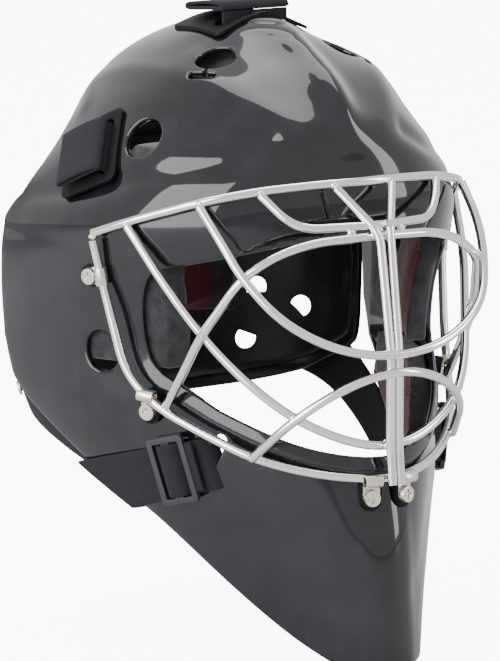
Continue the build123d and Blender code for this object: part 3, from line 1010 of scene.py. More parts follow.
@dataclass
class Shell:
    """The moulded shell: one open form with its port, vents, slots, creases and ridge.

    Attributes:
        wall: Thickness of the wall.
        rim: Rounding of its rims.
        columns: Grid lines round it.
        rows: Grid lines up it.
        chin_line: Spline part of the lower edge in the side view, as (y, z).
        rear_edge: Straight part of the edge behind the ears and over the crown.
        port_top: Arc over the eyes, as (x, z).
        port_side: Side of the port from its top to the cheek.
        port_cheek: Spline along the cheeks, on the wearer's left, from outside to the middle.
        openings: Vents, ear holes and strap slots.
        flare_crease: Line where the brow flares out of the side.
        top_crease: Line between the side and the crown, on the wearer's right.
        scoop: Middle of the hollow beside the crown ridge.
        chin_dent: Middle of the hollow beside the chin.
        chin_strip: Half width of the raised strip down the chin, its height and its top.
        lip: Height of the raised lip round the port, its place inside the edge and its width.
    """

    wall: float = 3.5
    rim: float = 1.2
    columns: int = 330
    rows: int = 236
    chin_line: tuple[Pair, ...] = (
        (-118, -143.5), (-92, -128), (-66, -109), (-30, -78), (0, -58), (38, -31),
    )  # fmt: skip
    rear_edge: tuple[Pair, ...] = (
        (38, -31), (50, -20), (57, 0), (61, 45), (61, 58), (52, 70), (50, 84), (53, 120), (50, 170),
        (-165, 170), (-165, -143.5),
    )  # fmt: skip
    port_top: tuple[Pair, Pair, Pair] = ((-79, 46.5), (0, 61), (79, 46.5))
    port_side: tuple[Pair, ...] = ((79, 46.5), (84.5, 39), (82, 10), (77, -7))
    port_cheek: tuple[Pair, ...] = ((77, -7), (62, -22), (34, -37), (0, -42))
    openings: tuple[Opening, ...] = (
        Opening((-75, -24, 104), (-0.81, -0.2, 0.55), (0, 0, 1), 21, 21),
        Opening((-95, -14, 1), (-0.97, -0.24, 0), (0, 0, 1), 20, 20),
        Opening((-36, -26, 141), (-0.41, -0.24, 0.88), (0, 1, 0), 19.4, 19.4),
        Opening((-47.4, -33.1, 132.8), (-0.55, -0.28, 0.79), (-8, 13, -1), 14.5, 4.8),
        Opening((-68.5, -69.5, -47.5), (-0.85, -0.52, -0.05), (0.25, -0.5, 1), 31, 6.5),
        Opening((-82.6, -3.5, 97.5), (-0.86, -0.05, 0.5), (-0.5, -0.48, -0.72), 31, 8),
        Opening((0, -4, 156.4), (0, 0, 1), (-1, 0, 0), 44, 9),
    )
    flare_crease: tuple[Triple, ...] = (
        (-100, 46, 70), (-96, 18, 75), (-89, -17, 83), (-78, -46, 90), (-59, -71, 95), (-44, -77, 103),
        (-38, -78, 106),
    )  # fmt: skip
    top_crease: tuple[Triple, ...] = (
        (-70, 40, 112), (-59, 48, 123), (-56, 10, 132), (-53, -22, 132), (-48, -38, 131), (-42, -53, 128),
        (-36, -67, 121), (-31, -76, 115), (-24, -83, 111),
    )  # fmt: skip
    scoop: tuple[Triple, ...] = (
        (-34, -8, 148), (-31, -30, 144), (-28, -50, 136), (-24, -66, 127), (-20, -78, 117),
    )  # fmt: skip
    chin_dent: tuple[Triple, ...] = (
        (-45, -99, -64), (-38, -105, -75), (-29, -113, -94), (-20, -122, -108),
    )  # fmt: skip
    chin_strip: Triple = (13.0, 1.3, -66.0)
    lip: Triple = (1.1, -5.0, 3.2)
    _outlines: dict[str, np.ndarray] = field(default_factory=dict)

    def __post_init__(self) -> None:
        """Draw the outlines once."""
        side = [smooth_through(self.chin_line, 8), np.asarray(self.rear_edge[1:], float)]
        self._outlines["side"] = np.vstack(side)
        cheek = smooth_through(
            self.port_cheek + tuple((-x, z) for x, z in self.port_cheek[-2::-1]), 8
        )
        corner = smooth_through([(70, 50.6), *self.port_side, (62, -22)], 5)[5:-5]
        mirrored = corner[::-1] * np.array([-1, 1])
        top = arc_through(*self.port_top)
        top = top[np.abs(top[:, 0]) < 72]
        self._outlines["port"] = np.vstack([top, corner, cheek[8:-8], mirrored])

    def relief(self, base: np.ndarray) -> np.ndarray:
        """Measure how far the moulded creases, the ridge and the lip stand out of the plain form.

        Args:
            base: Points of the form.

        Returns:
            Heights in millimetres.
        """
        folded = on_right(base)
        height = np.zeros(len(base))
        for line, depth, width in (
            (self.flare_crease, -1.5, 6.0),
            (self.top_crease, 0.9, 7.0),
            (self.scoop, -1.3, 13.0),
            (self.chin_dent, -0.7, 9.0),
        ):
            distance = line_distance(folded, smooth_through(line, 3))
            height += depth * np.exp(-((distance / width) ** 2))
        half_width, raised, top = self.chin_strip
        strip = 1 / (1 + np.exp((np.abs(base[:, 0]) - half_width) / 1.8))
        height += raised * strip / (1 + np.exp((base[:, 2] - top) / 4)) * (base[:, 1] < 0)
        ahead = base[:, 1] < -20
        port = inside_outline(base[:, [0, 2]], self._outlines["port"])
        low = 1 / (1 + np.exp((base[:, 2] - 12) / 6))
        raised, place, width = self.lip
        height += np.where(ahead, raised * low * np.exp(-(((port - place) / width) ** 2)), 0)
        return height

    def surface(self, turn: np.ndarray, rise: np.ndarray) -> np.ndarray:
        """Find points of the outer face.

        Args:
            turn: Turns round the form.
            rise: How far up it, from 0 to 1.

        Returns:
            Points in millimetres.
        """
        nudge = 3e-4
        here = self.plain(turn, rise)
        along = self.plain(turn + nudge, rise) - here
        up = self.plain(turn, rise + nudge) - here
        return here + units(np.cross(along, up)) * self.relief(here)[:, None]

    def plain(self, turn: np.ndarray, rise: np.ndarray) -> np.ndarray:
        """Return points of the plain form; rise is spread evenly over its surface."""
        if "rise" not in self._outlines:
            z = np.linspace(-146, 157.35, 1200)
            level = FORM.level_at(z)
            step = np.abs(np.diff(level[:, [0, 1, 3]], axis=0)).max(axis=1)
            length = np.concatenate([[0], np.cumsum(np.hypot(np.diff(z), step))])
            self._outlines["rise"] = np.column_stack([length / length[-1], z])
        table = self._outlines["rise"]
        return FORM.place(turn, np.interp(rise, table[:, 0], table[:, 1]))

    def keep(self, points: np.ndarray) -> np.ndarray:
        """Return how far points lie inside the shell's edges, vents and slots."""
        edge = inside_outline(points[:, [1, 2]], self._outlines["side"])
        port = -inside_outline(points[:, [0, 2]], self._outlines["port"])
        edge = np.minimum(edge, np.where(points[:, 1] < 0, port, FAR_INSIDE))
        for opening in self.openings:
            edge = np.minimum(edge, opening.clear_of(points))
        return edge

    def build(self) -> bpy.types.Object:
        """Make the shell; no operator lofts and trims a wall like this, so its mesh is worked out.

        Returns:
            The finished piece.
        """
        sheet = MouldedSheet(self.surface, self.keep, self.wall, self.rim, closed=True)
        turns = np.arange(self.columns) / self.columns
        piece = sheet.build("shell_moulded", turns, np.linspace(0, 1, self.rows))
        return finish_piece(piece, SHELL_LACQUER, Body.MASK, "shell")


# ---------------------------------------------------------------- cage


@dataclass
class Cage:
    """The welded cage, its clips, screws, nuts and rubber pads.

    Attributes:
        wire_radius: Radius of every wire.
        routes: Bends of each wire on the wearer's left, ending in the middle.
        centre_route: Bends of the left one of the two upright wires.
        tight_bend: How far from a bend the wires named in tight_wires are straight again.
        tight_wires: The wires with tight bends.
        weld_gap: Wires nearer than this beside each other are welded.
        weld_spacing: The least distance between two welds.
        weld_size: Half the length, width and height of a weld's fillet.
    """

    wire_radius: float = 2.2
    routes: dict[str, tuple[Triple, ...]] = field(
        default_factory=lambda: {
            "cage_top_bar": (
                (101, -20.5, 60), (94, -39, 67), (74.5, -73, 79), (49.5, -88, 84.5),
                (17, -99, 87), (0, -101, 87),
            ),
            "cage_lower_bar": (
                (101, -20.5, 56.5), (97.5, -23.5, 36), (92, -34.5, -6), (84, -50, -21.5),
                (70, -73, -33), (55, -92.5, -43), (30, -113.5, -50), (0, -127, -52.5),
            ),
            "cage_brow_wire": ((49.5, -88.5, 82.5), (39.7, -104, 67.5), (0, -115, 68)),
            "cage_eye_wire": (
                (81, -54, -21), (79.5, -68, -2), (78, -80, 16), (67, -99, 45.5),
                (52, -105, 56), (34, -110, 61.5), (0, -115.5, 63.1),
            ),
            "cage_upper_hoop": (
                (74.5, -74.5, 77), (72.5, -91, 62), (68.5, -103, 46), (56, -120, 26), (30, -130, 12),
                (0, -132.9, 7.6),
            ),
            "cage_lower_hoop": (
                (93.5, -40, 65), (86, -60, 40), (75, -77, 16), (62, -97, -5),
                (46, -112, -21), (22, -122, -33), (0, -124.6, -37),
            ),
            "cage_chin_wire": ((57, -93.5, -41.5), (47.8, -115.6, -20.5), (27, -128, -5), (0, -133, 1.8)),
        }
    )  # fmt: skip
    centre_route: tuple[Triple, ...] = (
        (15.6, -101.5, 84.8), (3, -119.6, 65), (2.3, -128.8, 7), (2.3, -129, -37), (2.3, -131, -54),
    )  # fmt: skip
    tight_bend: float = 13.0
    weld_gap: float = 1.6
    weld_spacing: float = 14.0
    weld_size: Triple = (2.35, 2.35, 1.5)
    tight_wires: tuple[str, ...] = ("cage_brow_wire", "cage_centre_wire_left", "cage_centre_wire_right")
    _lines: dict[str, list[np.ndarray]] = field(default_factory=dict)

    def wire(self, name: str, points: Sequence[Triple]) -> bpy.types.Object:
        """Bend one wire.

        Args:
            name: Its name.
            points: The bends of its whole route.

        Returns:
            Its mesh object.
        """
        curve = bpy.data.curves.new(name, "CURVE")
        curve.dimensions = "3D"
        curve.bevel_depth = self.wire_radius * MM
        curve.bevel_resolution = 5
        curve.resolution_u = 14
        curve.use_fill_caps = True
        spline = curve.splines.new("NURBS")
        points = self.with_straights(name, points)
        spline.points.add(len(points) - 1)
        for point, place in zip(spline.points, points):
            point.co = (*(Vector(place) * MM), 1.0)
        spline.order_u = 3
        spline.use_endpoint_u = True
        line = bpy.data.objects.new(name, curve)
        bpy.context.scene.collection.objects.link(line)
        select_only(line)
        bpy.ops.object.convert(target="MESH")
        wire = bpy.context.view_layer.objects.active
        with editing(wire):
            bpy.ops.mesh.remove_doubles(threshold=1e-6)
            bpy.ops.mesh.normals_make_consistent(inside=False)
        bpy.ops.object.shade_smooth_by_angle(angle=radians(50))
        return wire

    def with_straights(self, name: str, points: Sequence[Triple]) -> list[Vector]:
        """Add points beside the bends, so that the runs between them stay straight.

        Args:
            name: The wire's name.
            points: Its bends.

        Returns:
            All its points.
        """
        bends = [Vector(point) for point in points]
        limit = self.tight_bend if name in self.tight_wires else np.inf
        reach = [0.0]
        for before, here, after in zip(bends, bends[1:], bends[2:]):
            reach.append(min((here - before).length, (after - here).length, limit))
        reach.append(0.0)
        kept = [bends[0]]
        for index in range(len(bends) - 1):
            start, end = bends[index], bends[index + 1]
            run = end - start
            near, far = reach[index], reach[index + 1]
            if near + far <= run.length:
                if near:
                    kept.append(start + run.normalized() * near)
                if far and run.length - far > near + 0.5:
                    kept.append(end - run.normalized() * far)
            elif near and near < 0.6 * run.length:
                kept.append(start + run.normalized() * near)
            elif far and far < 0.6 * run.length:
                kept.append(end - run.normalized() * far)
            kept.append(end)
        return kept

    def centre_line(self, name: str, points: Sequence[Triple]) -> np.ndarray:
        """Return the smooth line that a wire's bends give, in millimetres."""
        given = np.asarray([tuple(point) for point in self.with_straights(name, points)])
        middles = (given[1:] + given[:-1]) / 2
        starts = np.vstack([given[:1], middles[1:-1], given[-1:]])
        share = np.linspace(0, 1, 13)[:-1, None]
        line = [
            start * (1 - share) ** 2 + 2 * bend * share * (1 - share) + end * share**2
            for start, bend, end in zip(starts, given[1:-1], starts[1:])
        ]
        return np.vstack(line + [given[-1:]])

    def weld(self, one: str, other: str) -> list[bpy.types.Object]:
        """Make the small fillets of metal where two wires are welded.

        Args:
            one: The first wire's name.
            other: The second wire's name.

        Returns:
            One fillet for each crossing.
        """
        beads = []
        for first in self._lines[one]:
            for second in self._lines[other]:
                gaps = np.linalg.norm(first[:, None] - second[None], axis=2)
                near = gaps < 2 * self.wire_radius + self.weld_gap
                seen: list[np.ndarray] = []
                order = np.argwhere(near)
                order = order[np.argsort(gaps[near])]
                for row, column in order:
                    middle = (first[row] + second[column]) / 2
                    if any(np.linalg.norm(middle - known) < self.weld_spacing for known in seen):
                        continue
                    seen.append(middle)
                    beads.append(self.bead(middle, first[row] - second[column]))
        return beads

    def bead(self, middle: np.ndarray, between: np.ndarray) -> bpy.types.Object:
        """Make one weld fillet: a flat, slightly squared drop squeezed out between the wires.

        Args:
            middle: Its place in millimetres.
            between: The direction from wire to wire.

        Returns:
            The fillet.
        """
        select_none()
        bpy.ops.mesh.primitive_uv_sphere_add(segments=16, ring_count=10, radius=1.0)
        drop = bpy.context.view_layer.objects.active
        turn = Vector(between).to_track_quat("Z", "Y") if np.linalg.norm(between) > 0.2 else Quaternion()
        size = Vector(self.weld_size) * MM
        drop.matrix_world = Matrix.LocRotScale(Vector(middle) * MM, turn, size)
        select_only(drop)
        bpy.ops.object.transform_apply(location=True, rotation=True, scale=True)
        bpy.ops.object.shade_smooth()
        return drop

    def build(self) -> list[bpy.types.Object]:
        """Make the wires, their welds and the fixings.

        Returns:
            The finished pieces.
        """
        pieces = []
        for name, half in self.routes.items():
            route = half[:-1] + tuple((-x, y, z) for x, y, z in reversed(half))
            self._lines[name] = [self.centre_line(name, route)]
            bent = self.wire(f"{name}_bent", route)
            pieces.append(finish_piece(bent, CAGE_STAINLESS, Body.MASK, name))
        node = "cage_centre_wires"
        self._lines[node] = []
        for side in reversed(Side):
            name = f"cage_centre_wire_{side.suffix}"
            route = tuple((side.value * x, y, z) for x, y, z in self.centre_route)
            self._lines[node].append(self.centre_line(name, route))
            pieces.append(finish_piece(self.wire(name, route), CAGE_STAINLESS, Body.MASK, node))
        names = list(self._lines)
        beads = []
        for index, one in enumerate(names):
            for other in names[index + 1 :]:
                beads += self.weld(one, other)
        select_only(beads[0])
        for bead in beads:
            bead.select_set(True)
        bpy.ops.object.join()
        joined = bpy.context.view_layer.objects.active
        joined.name = "cage_weld_fillets"
        pieces.append(finish_piece(joined, CAGE_STAINLESS, Body.MASK))
        log.info("cage: %d weld fillets", len(beads))
        for node, rounding, segments, finish in (
            ("cage_clips", 0.3, 2, CLIP_PLATED),
            ("clip_screws", 0.35, 3, CLIP_PLATED),
            ("clip_nuts", 0.3, 2, CLIP_PLATED),
            ("clip_pads", 0.5, 3, CLIP_RUBBER),
        ):
            piece = softened_copy(node, rounding, segments)
            pieces.append(finish_piece(piece, finish, Body.MASK, node))
        return pieces


# ---------------------------------------------------------------- liner


@dataclass(frozen=True)
class Panel:
    """A panel of another cloth sewn into a pad's cover.

    Attributes:
        finish: The panel's cloth.
        seams: Planes that its straight edges lie in, as a point and a direction into the panel.
        facing: -1 on the wearer's side, 1 on the wall's side, 0 on both.
        turn_limit: How squarely a face has to face that way.
    """

    finish: Finish
    seams: tuple[tuple[Triple, Triple], ...]
    facing: int = 0
    turn_limit: float = 0.35

    def sew(self, piece: bpy.types.Object) -> None:
        """Cut the cover along the seams and give the faces between them the panel's cloth."""
        mesh = bmesh.new()
        mesh.from_mesh(piece.data)
        for place, into in self.seams:
            bmesh.ops.bisect_plane(
                mesh, geom=mesh.verts[:] + mesh.edges[:] + mesh.faces[:],
                plane_co=Vector(place) * MM, plane_no=Vector(into), dist=1e-6,
            )
        middle = Vector(HEAD_MIDDLE) * MM
        for face in mesh.faces:
            centre = face.calc_center_median()
            inside = all((centre - Vector(place) * MM).dot(Vector(into)) > 0 for place, into in self.seams)
            wallward = face.normal.dot((centre - middle).normalized())
            turned = self.facing == 0 or wallward * self.facing > self.turn_limit
            face.material_index = int(inside and turned)
        mesh.to_mesh(piece.data)
        mesh.free()
        piece.data.materials.append(self.finish.material())


@dataclass
class FoamPad:
    """A foam pad in a sewn cover, swollen a little so that its faces crown and its edges pull in.

    Attributes:
        node: The CAD node that it stands for.
        finish: Its cover.
        body: The body it rides on.
        voxel: Size of the mesh that the cloth is made of.
        swell: How far the cover may move out, away from the wall it lies on.
        fill: How full it is; not used.
        panel: The panel of another cloth in its cover, if it has one.
        tightness: How far the cover is drawn in before it swells.
        pressure: Pressure in the cover.
        stretch: Stiffness of the cover's cloth.
        frames: Steps of the simulation.
        proud: How far the cover may stand out of the pad's own space.
    """

    node: str
    finish: Finish
    body: Body = Body.MASK
    voxel: float = 3.6
    swell: float = 5.0
    fill: float = 0.7
    panel: Panel | None = None
    tightness: float = 0.9
    pressure: float = 4.0
    stretch: float = 12.0
    frames: int = 20
    proud: float = 2.2

    def build(self) -> bpy.types.Object:
        """Make the pad.

        Returns:
            The finished piece.
        """
        piece = cad_copy(self.node, "sewn")
        with editing(piece):
            bpy.ops.mesh.remove_doubles(threshold=MERGE)
        solid = BVHTree.FromObject(piece, bpy.context.evaluated_depsgraph_get())
        piece.data.remesh_voxel_size = self.voxel * MM
        bpy.ops.object.voxel_remesh()
        self.shrink(piece)
        self.inflate(piece)
        apply_modifier(piece, "SUBSURF", levels=1, render_levels=1)
        self.settle(piece, solid)
        bpy.ops.object.shade_smooth()
        finish_piece(piece, self.finish, self.body, self.node)
        if self.panel:
            self.panel.sew(piece)
        return piece

    def shrink(self, piece: bpy.types.Object) -> None:
        """Draw the cover in along its normals."""
        piece.data.update()
        moved = [vertex.co - vertex.normal * self.tightness * MM for vertex in piece.data.vertices]
        for vertex, place in zip(piece.data.vertices, moved):
            vertex.co = place

    def inflate(self, piece: bpy.types.Object) -> None:
        """Blow the cover up by cloth simulation and apply the result."""
        scene = bpy.context.scene
        scene.frame_set(1)
        cloth = piece.modifiers.new("Cover", "CLOTH")
        settings = cloth.settings
        settings.quality = 4
        settings.use_pressure = True
        settings.uniform_pressure_force = self.pressure
        settings.effector_weights.gravity = 0.0
        settings.tension_stiffness = settings.compression_stiffness = self.stretch
        start = [vertex.co.copy() for vertex in piece.data.vertices]
        for number in range(1, self.frames + 1):
            scene.frame_set(number)
        select_only(piece)
        bpy.ops.object.modifier_apply(modifier=cloth.name)
        for vertex, place in zip(piece.data.vertices, start):
            move = vertex.co - place
            if move.length > self.swell * MM:
                vertex.co = place + move.normalized() * self.swell * MM
        scene.frame_set(1)

    def settle(self, piece: bpy.types.Object, solid: BVHTree) -> None:
        """Press back what swelled into the wall behind the pad, which is outwards from the head.

        Args:
            piece: The pad.
            solid: The pad's own space.
        """
        middle = Vector(HEAD_MIDDLE) * MM
        for vertex in piece.data.vertices:
            place, normal, _, distance = solid.find_nearest(vertex.co)
            outside = (vertex.co - place).dot(normal) > 0
            wallward = normal.dot((vertex.co - middle).normalized()) > 0.25
            if outside and wallward:
                vertex.co = place
            elif outside and distance > self.proud * MM:
                vertex.co = place + normal * self.proud * MM


TEMPLE_PANEL = Panel(LINER_MESH, (((0, 0, 0), (0, -1, 0)),), -1)
PLATE_PANEL = Panel(LINER_MESH, (((-29, 0, 0), (1, 0, 0)), ((29, 0, 0), (-1, 0, 0))), -1)
LINER = (
    FoamPad("forehead_pad", LINER_KNIT),
    FoamPad("sweatband", BAND_KNIT, voxel=1.6, swell=1.0, fill=0.6),
    FoamPad("crown_pad", LINER_KNIT),
    *(
        FoamPad(f"{place}_pad_{side.suffix}", LINER_KNIT, panel=TEMPLE_PANEL)
        for place in ("temple", "jaw")
        for side in Side
    ),
    FoamPad("chin_pad", LINER_KNIT),
    FoamPad("back_plate_pad", LINER_KNIT, Body.BACK_PLATE, panel=PLATE_PANEL),
)


# ---------------------------------------------------------------- back plate and harness


@dataclass
class BackPlate:
    """The plate behind the head, with its D-shaped vents and the rivets that hold the straps.

    Attributes:
        top: Depth of its outer face below the form.
        wall: Its thickness.
        outline: Its outline in the side view, as (y, z).
        vents: Place of each vent, the way it faces in degrees from the wearer's left, and how far its
            flat side is turned from the bottom.
        vent_radius: Radius of a vent's round side.
        vent_flat: Distance from a vent's middle to its flat side.
        bead: Height of the raised bead inside the edge, its distance from the edge and its width.
        rim: Rounding of its edges.
    """

    top: float = 11.0
    wall: float = 3.0
    outline: tuple[Pair, ...] = (
        (45, -14), (50, -24), (64, -33), (78, -40.5), (104, -49), (130, -49),
        (130, 90), (88, 90), (60, 70), (47, 52), (44, 30),
    )  # fmt: skip
    vents: tuple[tuple[Triple, float, float], ...] = (
        ((78, 78, -7), 40, -45), ((56, 95, -23), 62, 159), ((62, 94, 3), 60, 0),
    )  # fmt: skip
    vent_radius: float = 5.5
    vent_flat: float = 2.7
    bead: Triple = (0.9, 6.0, 1.8)
    rim: float = 1.0

    def surface(self, turn: np.ndarray, height: np.ndarray) -> np.ndarray:
        """Return points of the plate's outer face, with a raised bead along its lower edge."""
        points = FORM.place(turn, height, self.top)
        away = points - np.array([0, 20, 20])
        away[:, 2] = 0
        raised, place, width = self.bead
        height_here = raised * np.exp(-(((self.inside_corners(points) - place) / width) ** 2))
        return points + units(away) * height_here[:, None]

    def inside_corners(self, points: np.ndarray) -> np.ndarray:
        """Return how far points lie inside the plate's outline, seen from the side."""
        return inside_outline(points[:, [1, 2]], smooth_through(self.outline, 4, closed=True))

    def keep(self, points: np.ndarray) -> np.ndarray:
        """Return how far points lie inside the plate."""
        edge = self.inside_corners(points)
        for place, turn, roll in self.vents:
            facing = np.array([cos(radians(turn)), sin(radians(turn)), 0])
            level = np.array([-facing[1], facing[0], 0])
            offset = on_right(points) * np.array([-1, 1, 1]) - np.asarray(place)
            height, sideways = offset[:, 2], offset @ level
            round_side = np.hypot(sideways, height) - self.vent_radius
            flat_side = -self.vent_flat - (height * cos(radians(roll)) + sideways * sin(radians(roll)))
            edge = np.minimum(edge, np.maximum(round_side, flat_side))
        return edge

    def build(self) -> list[bpy.types.Object]:
        """Make the plate and its rivets.

        Returns:
            The finished pieces.
        """
        sheet = MouldedSheet(self.surface, self.keep, self.wall, self.rim)
        turns, heights = np.linspace(0.16, 0.84, 380), np.linspace(-54, 96, 156)
        plate = sheet.build("back_plate_moulded", turns, heights)
        rivets = softened_copy("plate_rivets", 0.4, 3)
        return [
            finish_piece(plate, PLATE_PLASTIC, Body.BACK_PLATE, "back_plate"),
            finish_piece(rivets, RIVET_SATIN, Body.BACK_PLATE, "plate_rivets"),
        ]


@dataclass
class Harness:
    """The elastic straps from the shell to the back plate, and the webbing that goes out to the sliders.

    Attributes:
        depth: Depth of the inner straps' middle below the form.
        outside: Height of the outer webbing's middle above the form.
        top_half_width: Half the top strap's width.
        upper_run: Middle of an upper strap, in the side view.
        upper_width: Its width.
        plate_end: The two edges of a lower strap where it meets the plate, in the side view.
        slider_place: Point of the form under a slider's middle, on the wearer's right.
        slider_facing: The way the slider faces.
        slider_run: The way it slides.
        jaw_end: A lower strap's two edges on the jaw line.
        outer_jaw_end: The outer webbing's two edges on the jaw line.
        slot_end: Its two edges at its slot.
        tucked_end: Its two edges where it ends inside the shell.
        slider_layers: Half width and side profile of the webbing over a slider's middle bar and of its
            loose end, as places along the webbing and heights over the form.
        stretch_ends: Where each strap to the plate starts and ends, as (x, y, z); not used.
    """

    depth: float = 9.4
    outside: float = 1.7
    top_half_width: float = 16.5
    upper_run: tuple[Pair, Pair] = ((8, 90), (82, 43))
    upper_width: float = 22.0
    plate_end: tuple[Pair, Pair] = ((72, -18), (80, -38))
    slider_place: Triple = (-73.3, -52.5, -51.5)
    slider_facing: Triple = (-0.89, -0.43, -0.12)
    slider_run: Triple = (-0.43, 0.963, -0.269)
    jaw_end: tuple[Pair, Pair] = ((-17, -57), (6, -66))
    outer_jaw_end: tuple[Pair, Pair] = ((6.7, -57.1), (-20.8, -75.5))
    slot_end: tuple[Pair, Pair] = ((-65.2, -37), (-72.4, -59))
    tucked_end: tuple[Pair, Pair] = ((-4, -50), (-22, -62))
    slider_layers: dict[str, tuple[float, tuple[Pair, ...]]] = field(
        default_factory=lambda: {
            "over": (12.3, (
                (-7.7, 1.9), (-6.2, 3.2), (-4.2, 5.6), (-2.4, 6.6), (0, 6.9), (2.4, 6.6), (4.2, 5.6),
                (6.2, 3.2), (7.7, 1.9),
            )),
            "tail": (11.6, ((-8.0, 3.0), (-8.8, 3.9), (-10.5, 4.4), (-12.5, 4.5), (-14.5, 4.4))),
        }
    )  # fmt: skip
    stretch_ends: dict[str, tuple[Triple, Triple]] = field(
        default_factory=lambda: {
            "top_strap": ((0, 10, 150), (0, 92, 80)),
            "upper_strap": ((0, 15, 86), (0, 70, 50)),
            "lower_strap": ((0, 0, -60), (0, 66, -32)),
        }
    )

    def top_strap(self) -> bpy.types.Object:
        """Make the strap over the crown."""
        line = FORM.rear_line(self.depth)
        start = np.array([[4.0, 146.6]])
        line = np.vstack([start, line[(line[:, 0] > 34) & (line[:, 1] > 64) & (line[:, 0] < 99)]])
        line = smooth_through(line[:: max(1, len(line) // 14)], 4)
        across = np.linspace(-self.top_half_width, self.top_half_width, 9)
        grid = np.zeros((len(line), len(across), 3))
        grid[:, :, 0] = across
        grid[:, :, 1] = line[:, None, 0] - across**2 / 520
        grid[:, :, 2] = line[:, None, 1] - across**2 / 300
        return Strap("top_strap_woven", grid).build()

    def between(
        self, start: tuple[Pair, Pair], end: tuple[Pair, Pair], depth: float, side: Side,
        rows: int = 30,
    ) -> np.ndarray:
        """Lay a grid over the form between two strap ends given in the side view.

        Args:
            start: The two edges where the strap starts.
            end: The two edges where it ends.
            depth: Depth below the form.
            side: Which side.
            rows: Rows along it.

        Returns:
            The grid in millimetres.
        """  # fmt: skip
        along = np.linspace(0, 1, rows)[:, None, None]
        across = np.linspace(0, 1, 9)[None, :, None]
        first = np.asarray(start[0]) * (1 - along) + np.asarray(end[0]) * along
        second = np.asarray(start[1]) * (1 - along) + np.asarray(end[1]) * along
        flat = first * (1 - across) + second * across
        return FORM.side_point(flat[:, :, 0], flat[:, :, 1], depth, side)

    def upper_strap(self, side: Side) -> bpy.types.Object:
        """Make the strap from a side tab's slot back to the plate."""
        (y0, z0), (y1, z1) = self.upper_run
        run = unit((y1 - y0, z1 - z0))
        lean = np.array([-run[1], run[0]]) * self.upper_width / 2
        ends = [((y + lean[0], z + lean[1]), (y - lean[0], z - lean[1])) for y, z in self.upper_run]
        grid = self.between(ends[0], ends[1], self.depth, side)
        return Strap(f"upper_strap_{side.suffix}_woven", grid).build()

    def lower_strap(self, side: Side) -> bpy.types.Object:
        """Make the strap from the jaw line back to the plate."""
        grid = self.between(self.jaw_end, self.plate_end, self.depth, side)
        return Strap(f"lower_strap_{side.suffix}_woven", grid).build()

    def lower_webbing(self, side: Side) -> bpy.types.Object:
        """Make the webbing that comes out of the cheek slot, runs back and wraps round the jaw line.

        Args:
            side: Which side.

        Returns:
            The webbing.
        """
        outer = self.between(self.slot_end, self.outer_jaw_end, -self.outside, side, 40)
        inner = self.between(self.outer_jaw_end, self.tucked_end, 6.2, side, 8)
        middle = (outer[-1] + inner[0]) / 2
        out = (outer[-1] - inner[0]) / 2
        radius = np.linalg.norm(out, axis=1, keepdims=True)
        beyond = units(outer[-1] - outer[-2]) * radius * 0.55
        turns = np.linspace(0, pi, 12)[1:-1, None, None]
        wrap = middle + out * np.cos(turns) + beyond * np.sin(turns)
        slot_in = outer[0] + (outer[0] - outer[1]) * 1.5
        sink = np.array([-side.value * 7.0, 3.0, 0.5])
        mouth = np.stack([slot_in + sink, slot_in + sink * 0.45])
        grid = np.concatenate([mouth, outer, wrap, inner])
        return Strap(f"lower_webbing_{side.suffix}_woven", grid).build()

    def slider_webbing(self, side: Side) -> list[bpy.types.Object]:
        """Make the webbing that passes over the slider's middle bar, and its loose end towards the slot.

        Args:
            side: Which side.

        Returns:
            Both layers.
        """
        out = unit(self.slider_facing)
        run = np.asarray(self.slider_run, float)
        run = unit(run - out * (run @ out))
        across = np.cross(out, run)
        layers = []
        for word, (half, profile) in self.slider_layers.items():
            line = smooth_through(profile, 4)
            spread = np.linspace(-half, half, 9)
            grid = (
                np.asarray(self.slider_place) + line[:, None, :1] * run + line[:, None, 1:] * out
                + spread[None, :, None] * across
            )
            if side is Side.LEFT:
                grid = grid * np.array([-1, 1, 1])
            layers.append(Strap(f"slider_webbing_{word}_{side.suffix}", grid, 1.5).build())
        return layers

    def build(self) -> list[bpy.types.Object]:
        """Make every strap; those to the plate run between mask and plate and ride on no body.

        Returns:
            The finished pieces.
        """
        pieces = [finish_piece(self.top_strap(), WEBBING_BLACK, None, "top_strap")]
        for side in Side:
            for make, node in ((self.upper_strap, "upper_strap"), (self.lower_strap, "lower_strap")):
                pieces.append(finish_piece(make(side), WEBBING_BLACK, None, f"{node}_{side.suffix}"))
        for piece in pieces:
            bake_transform(piece)
        for side in Side:
            webbing, node = self.lower_webbing(side), f"lower_webbing_{side.suffix}"
            pieces.append(finish_piece(webbing, WEBBING_BLACK, Body.MASK, node))
            body = Body.SLIDER_RIGHT if side is Side.RIGHT else Body.SLIDER_LEFT
            for layer in self.slider_webbing(side):
                pieces.append(finish_piece(layer, WEBBING_BLACK, body))
            node = f"strap_slider_{side.suffix}"
            pieces.append(finish_piece(softened_copy(node, 0.45, 3), SLIDER_PLASTIC, body, node))
        return pieces


# ---------------------------------------------------------------- tabs


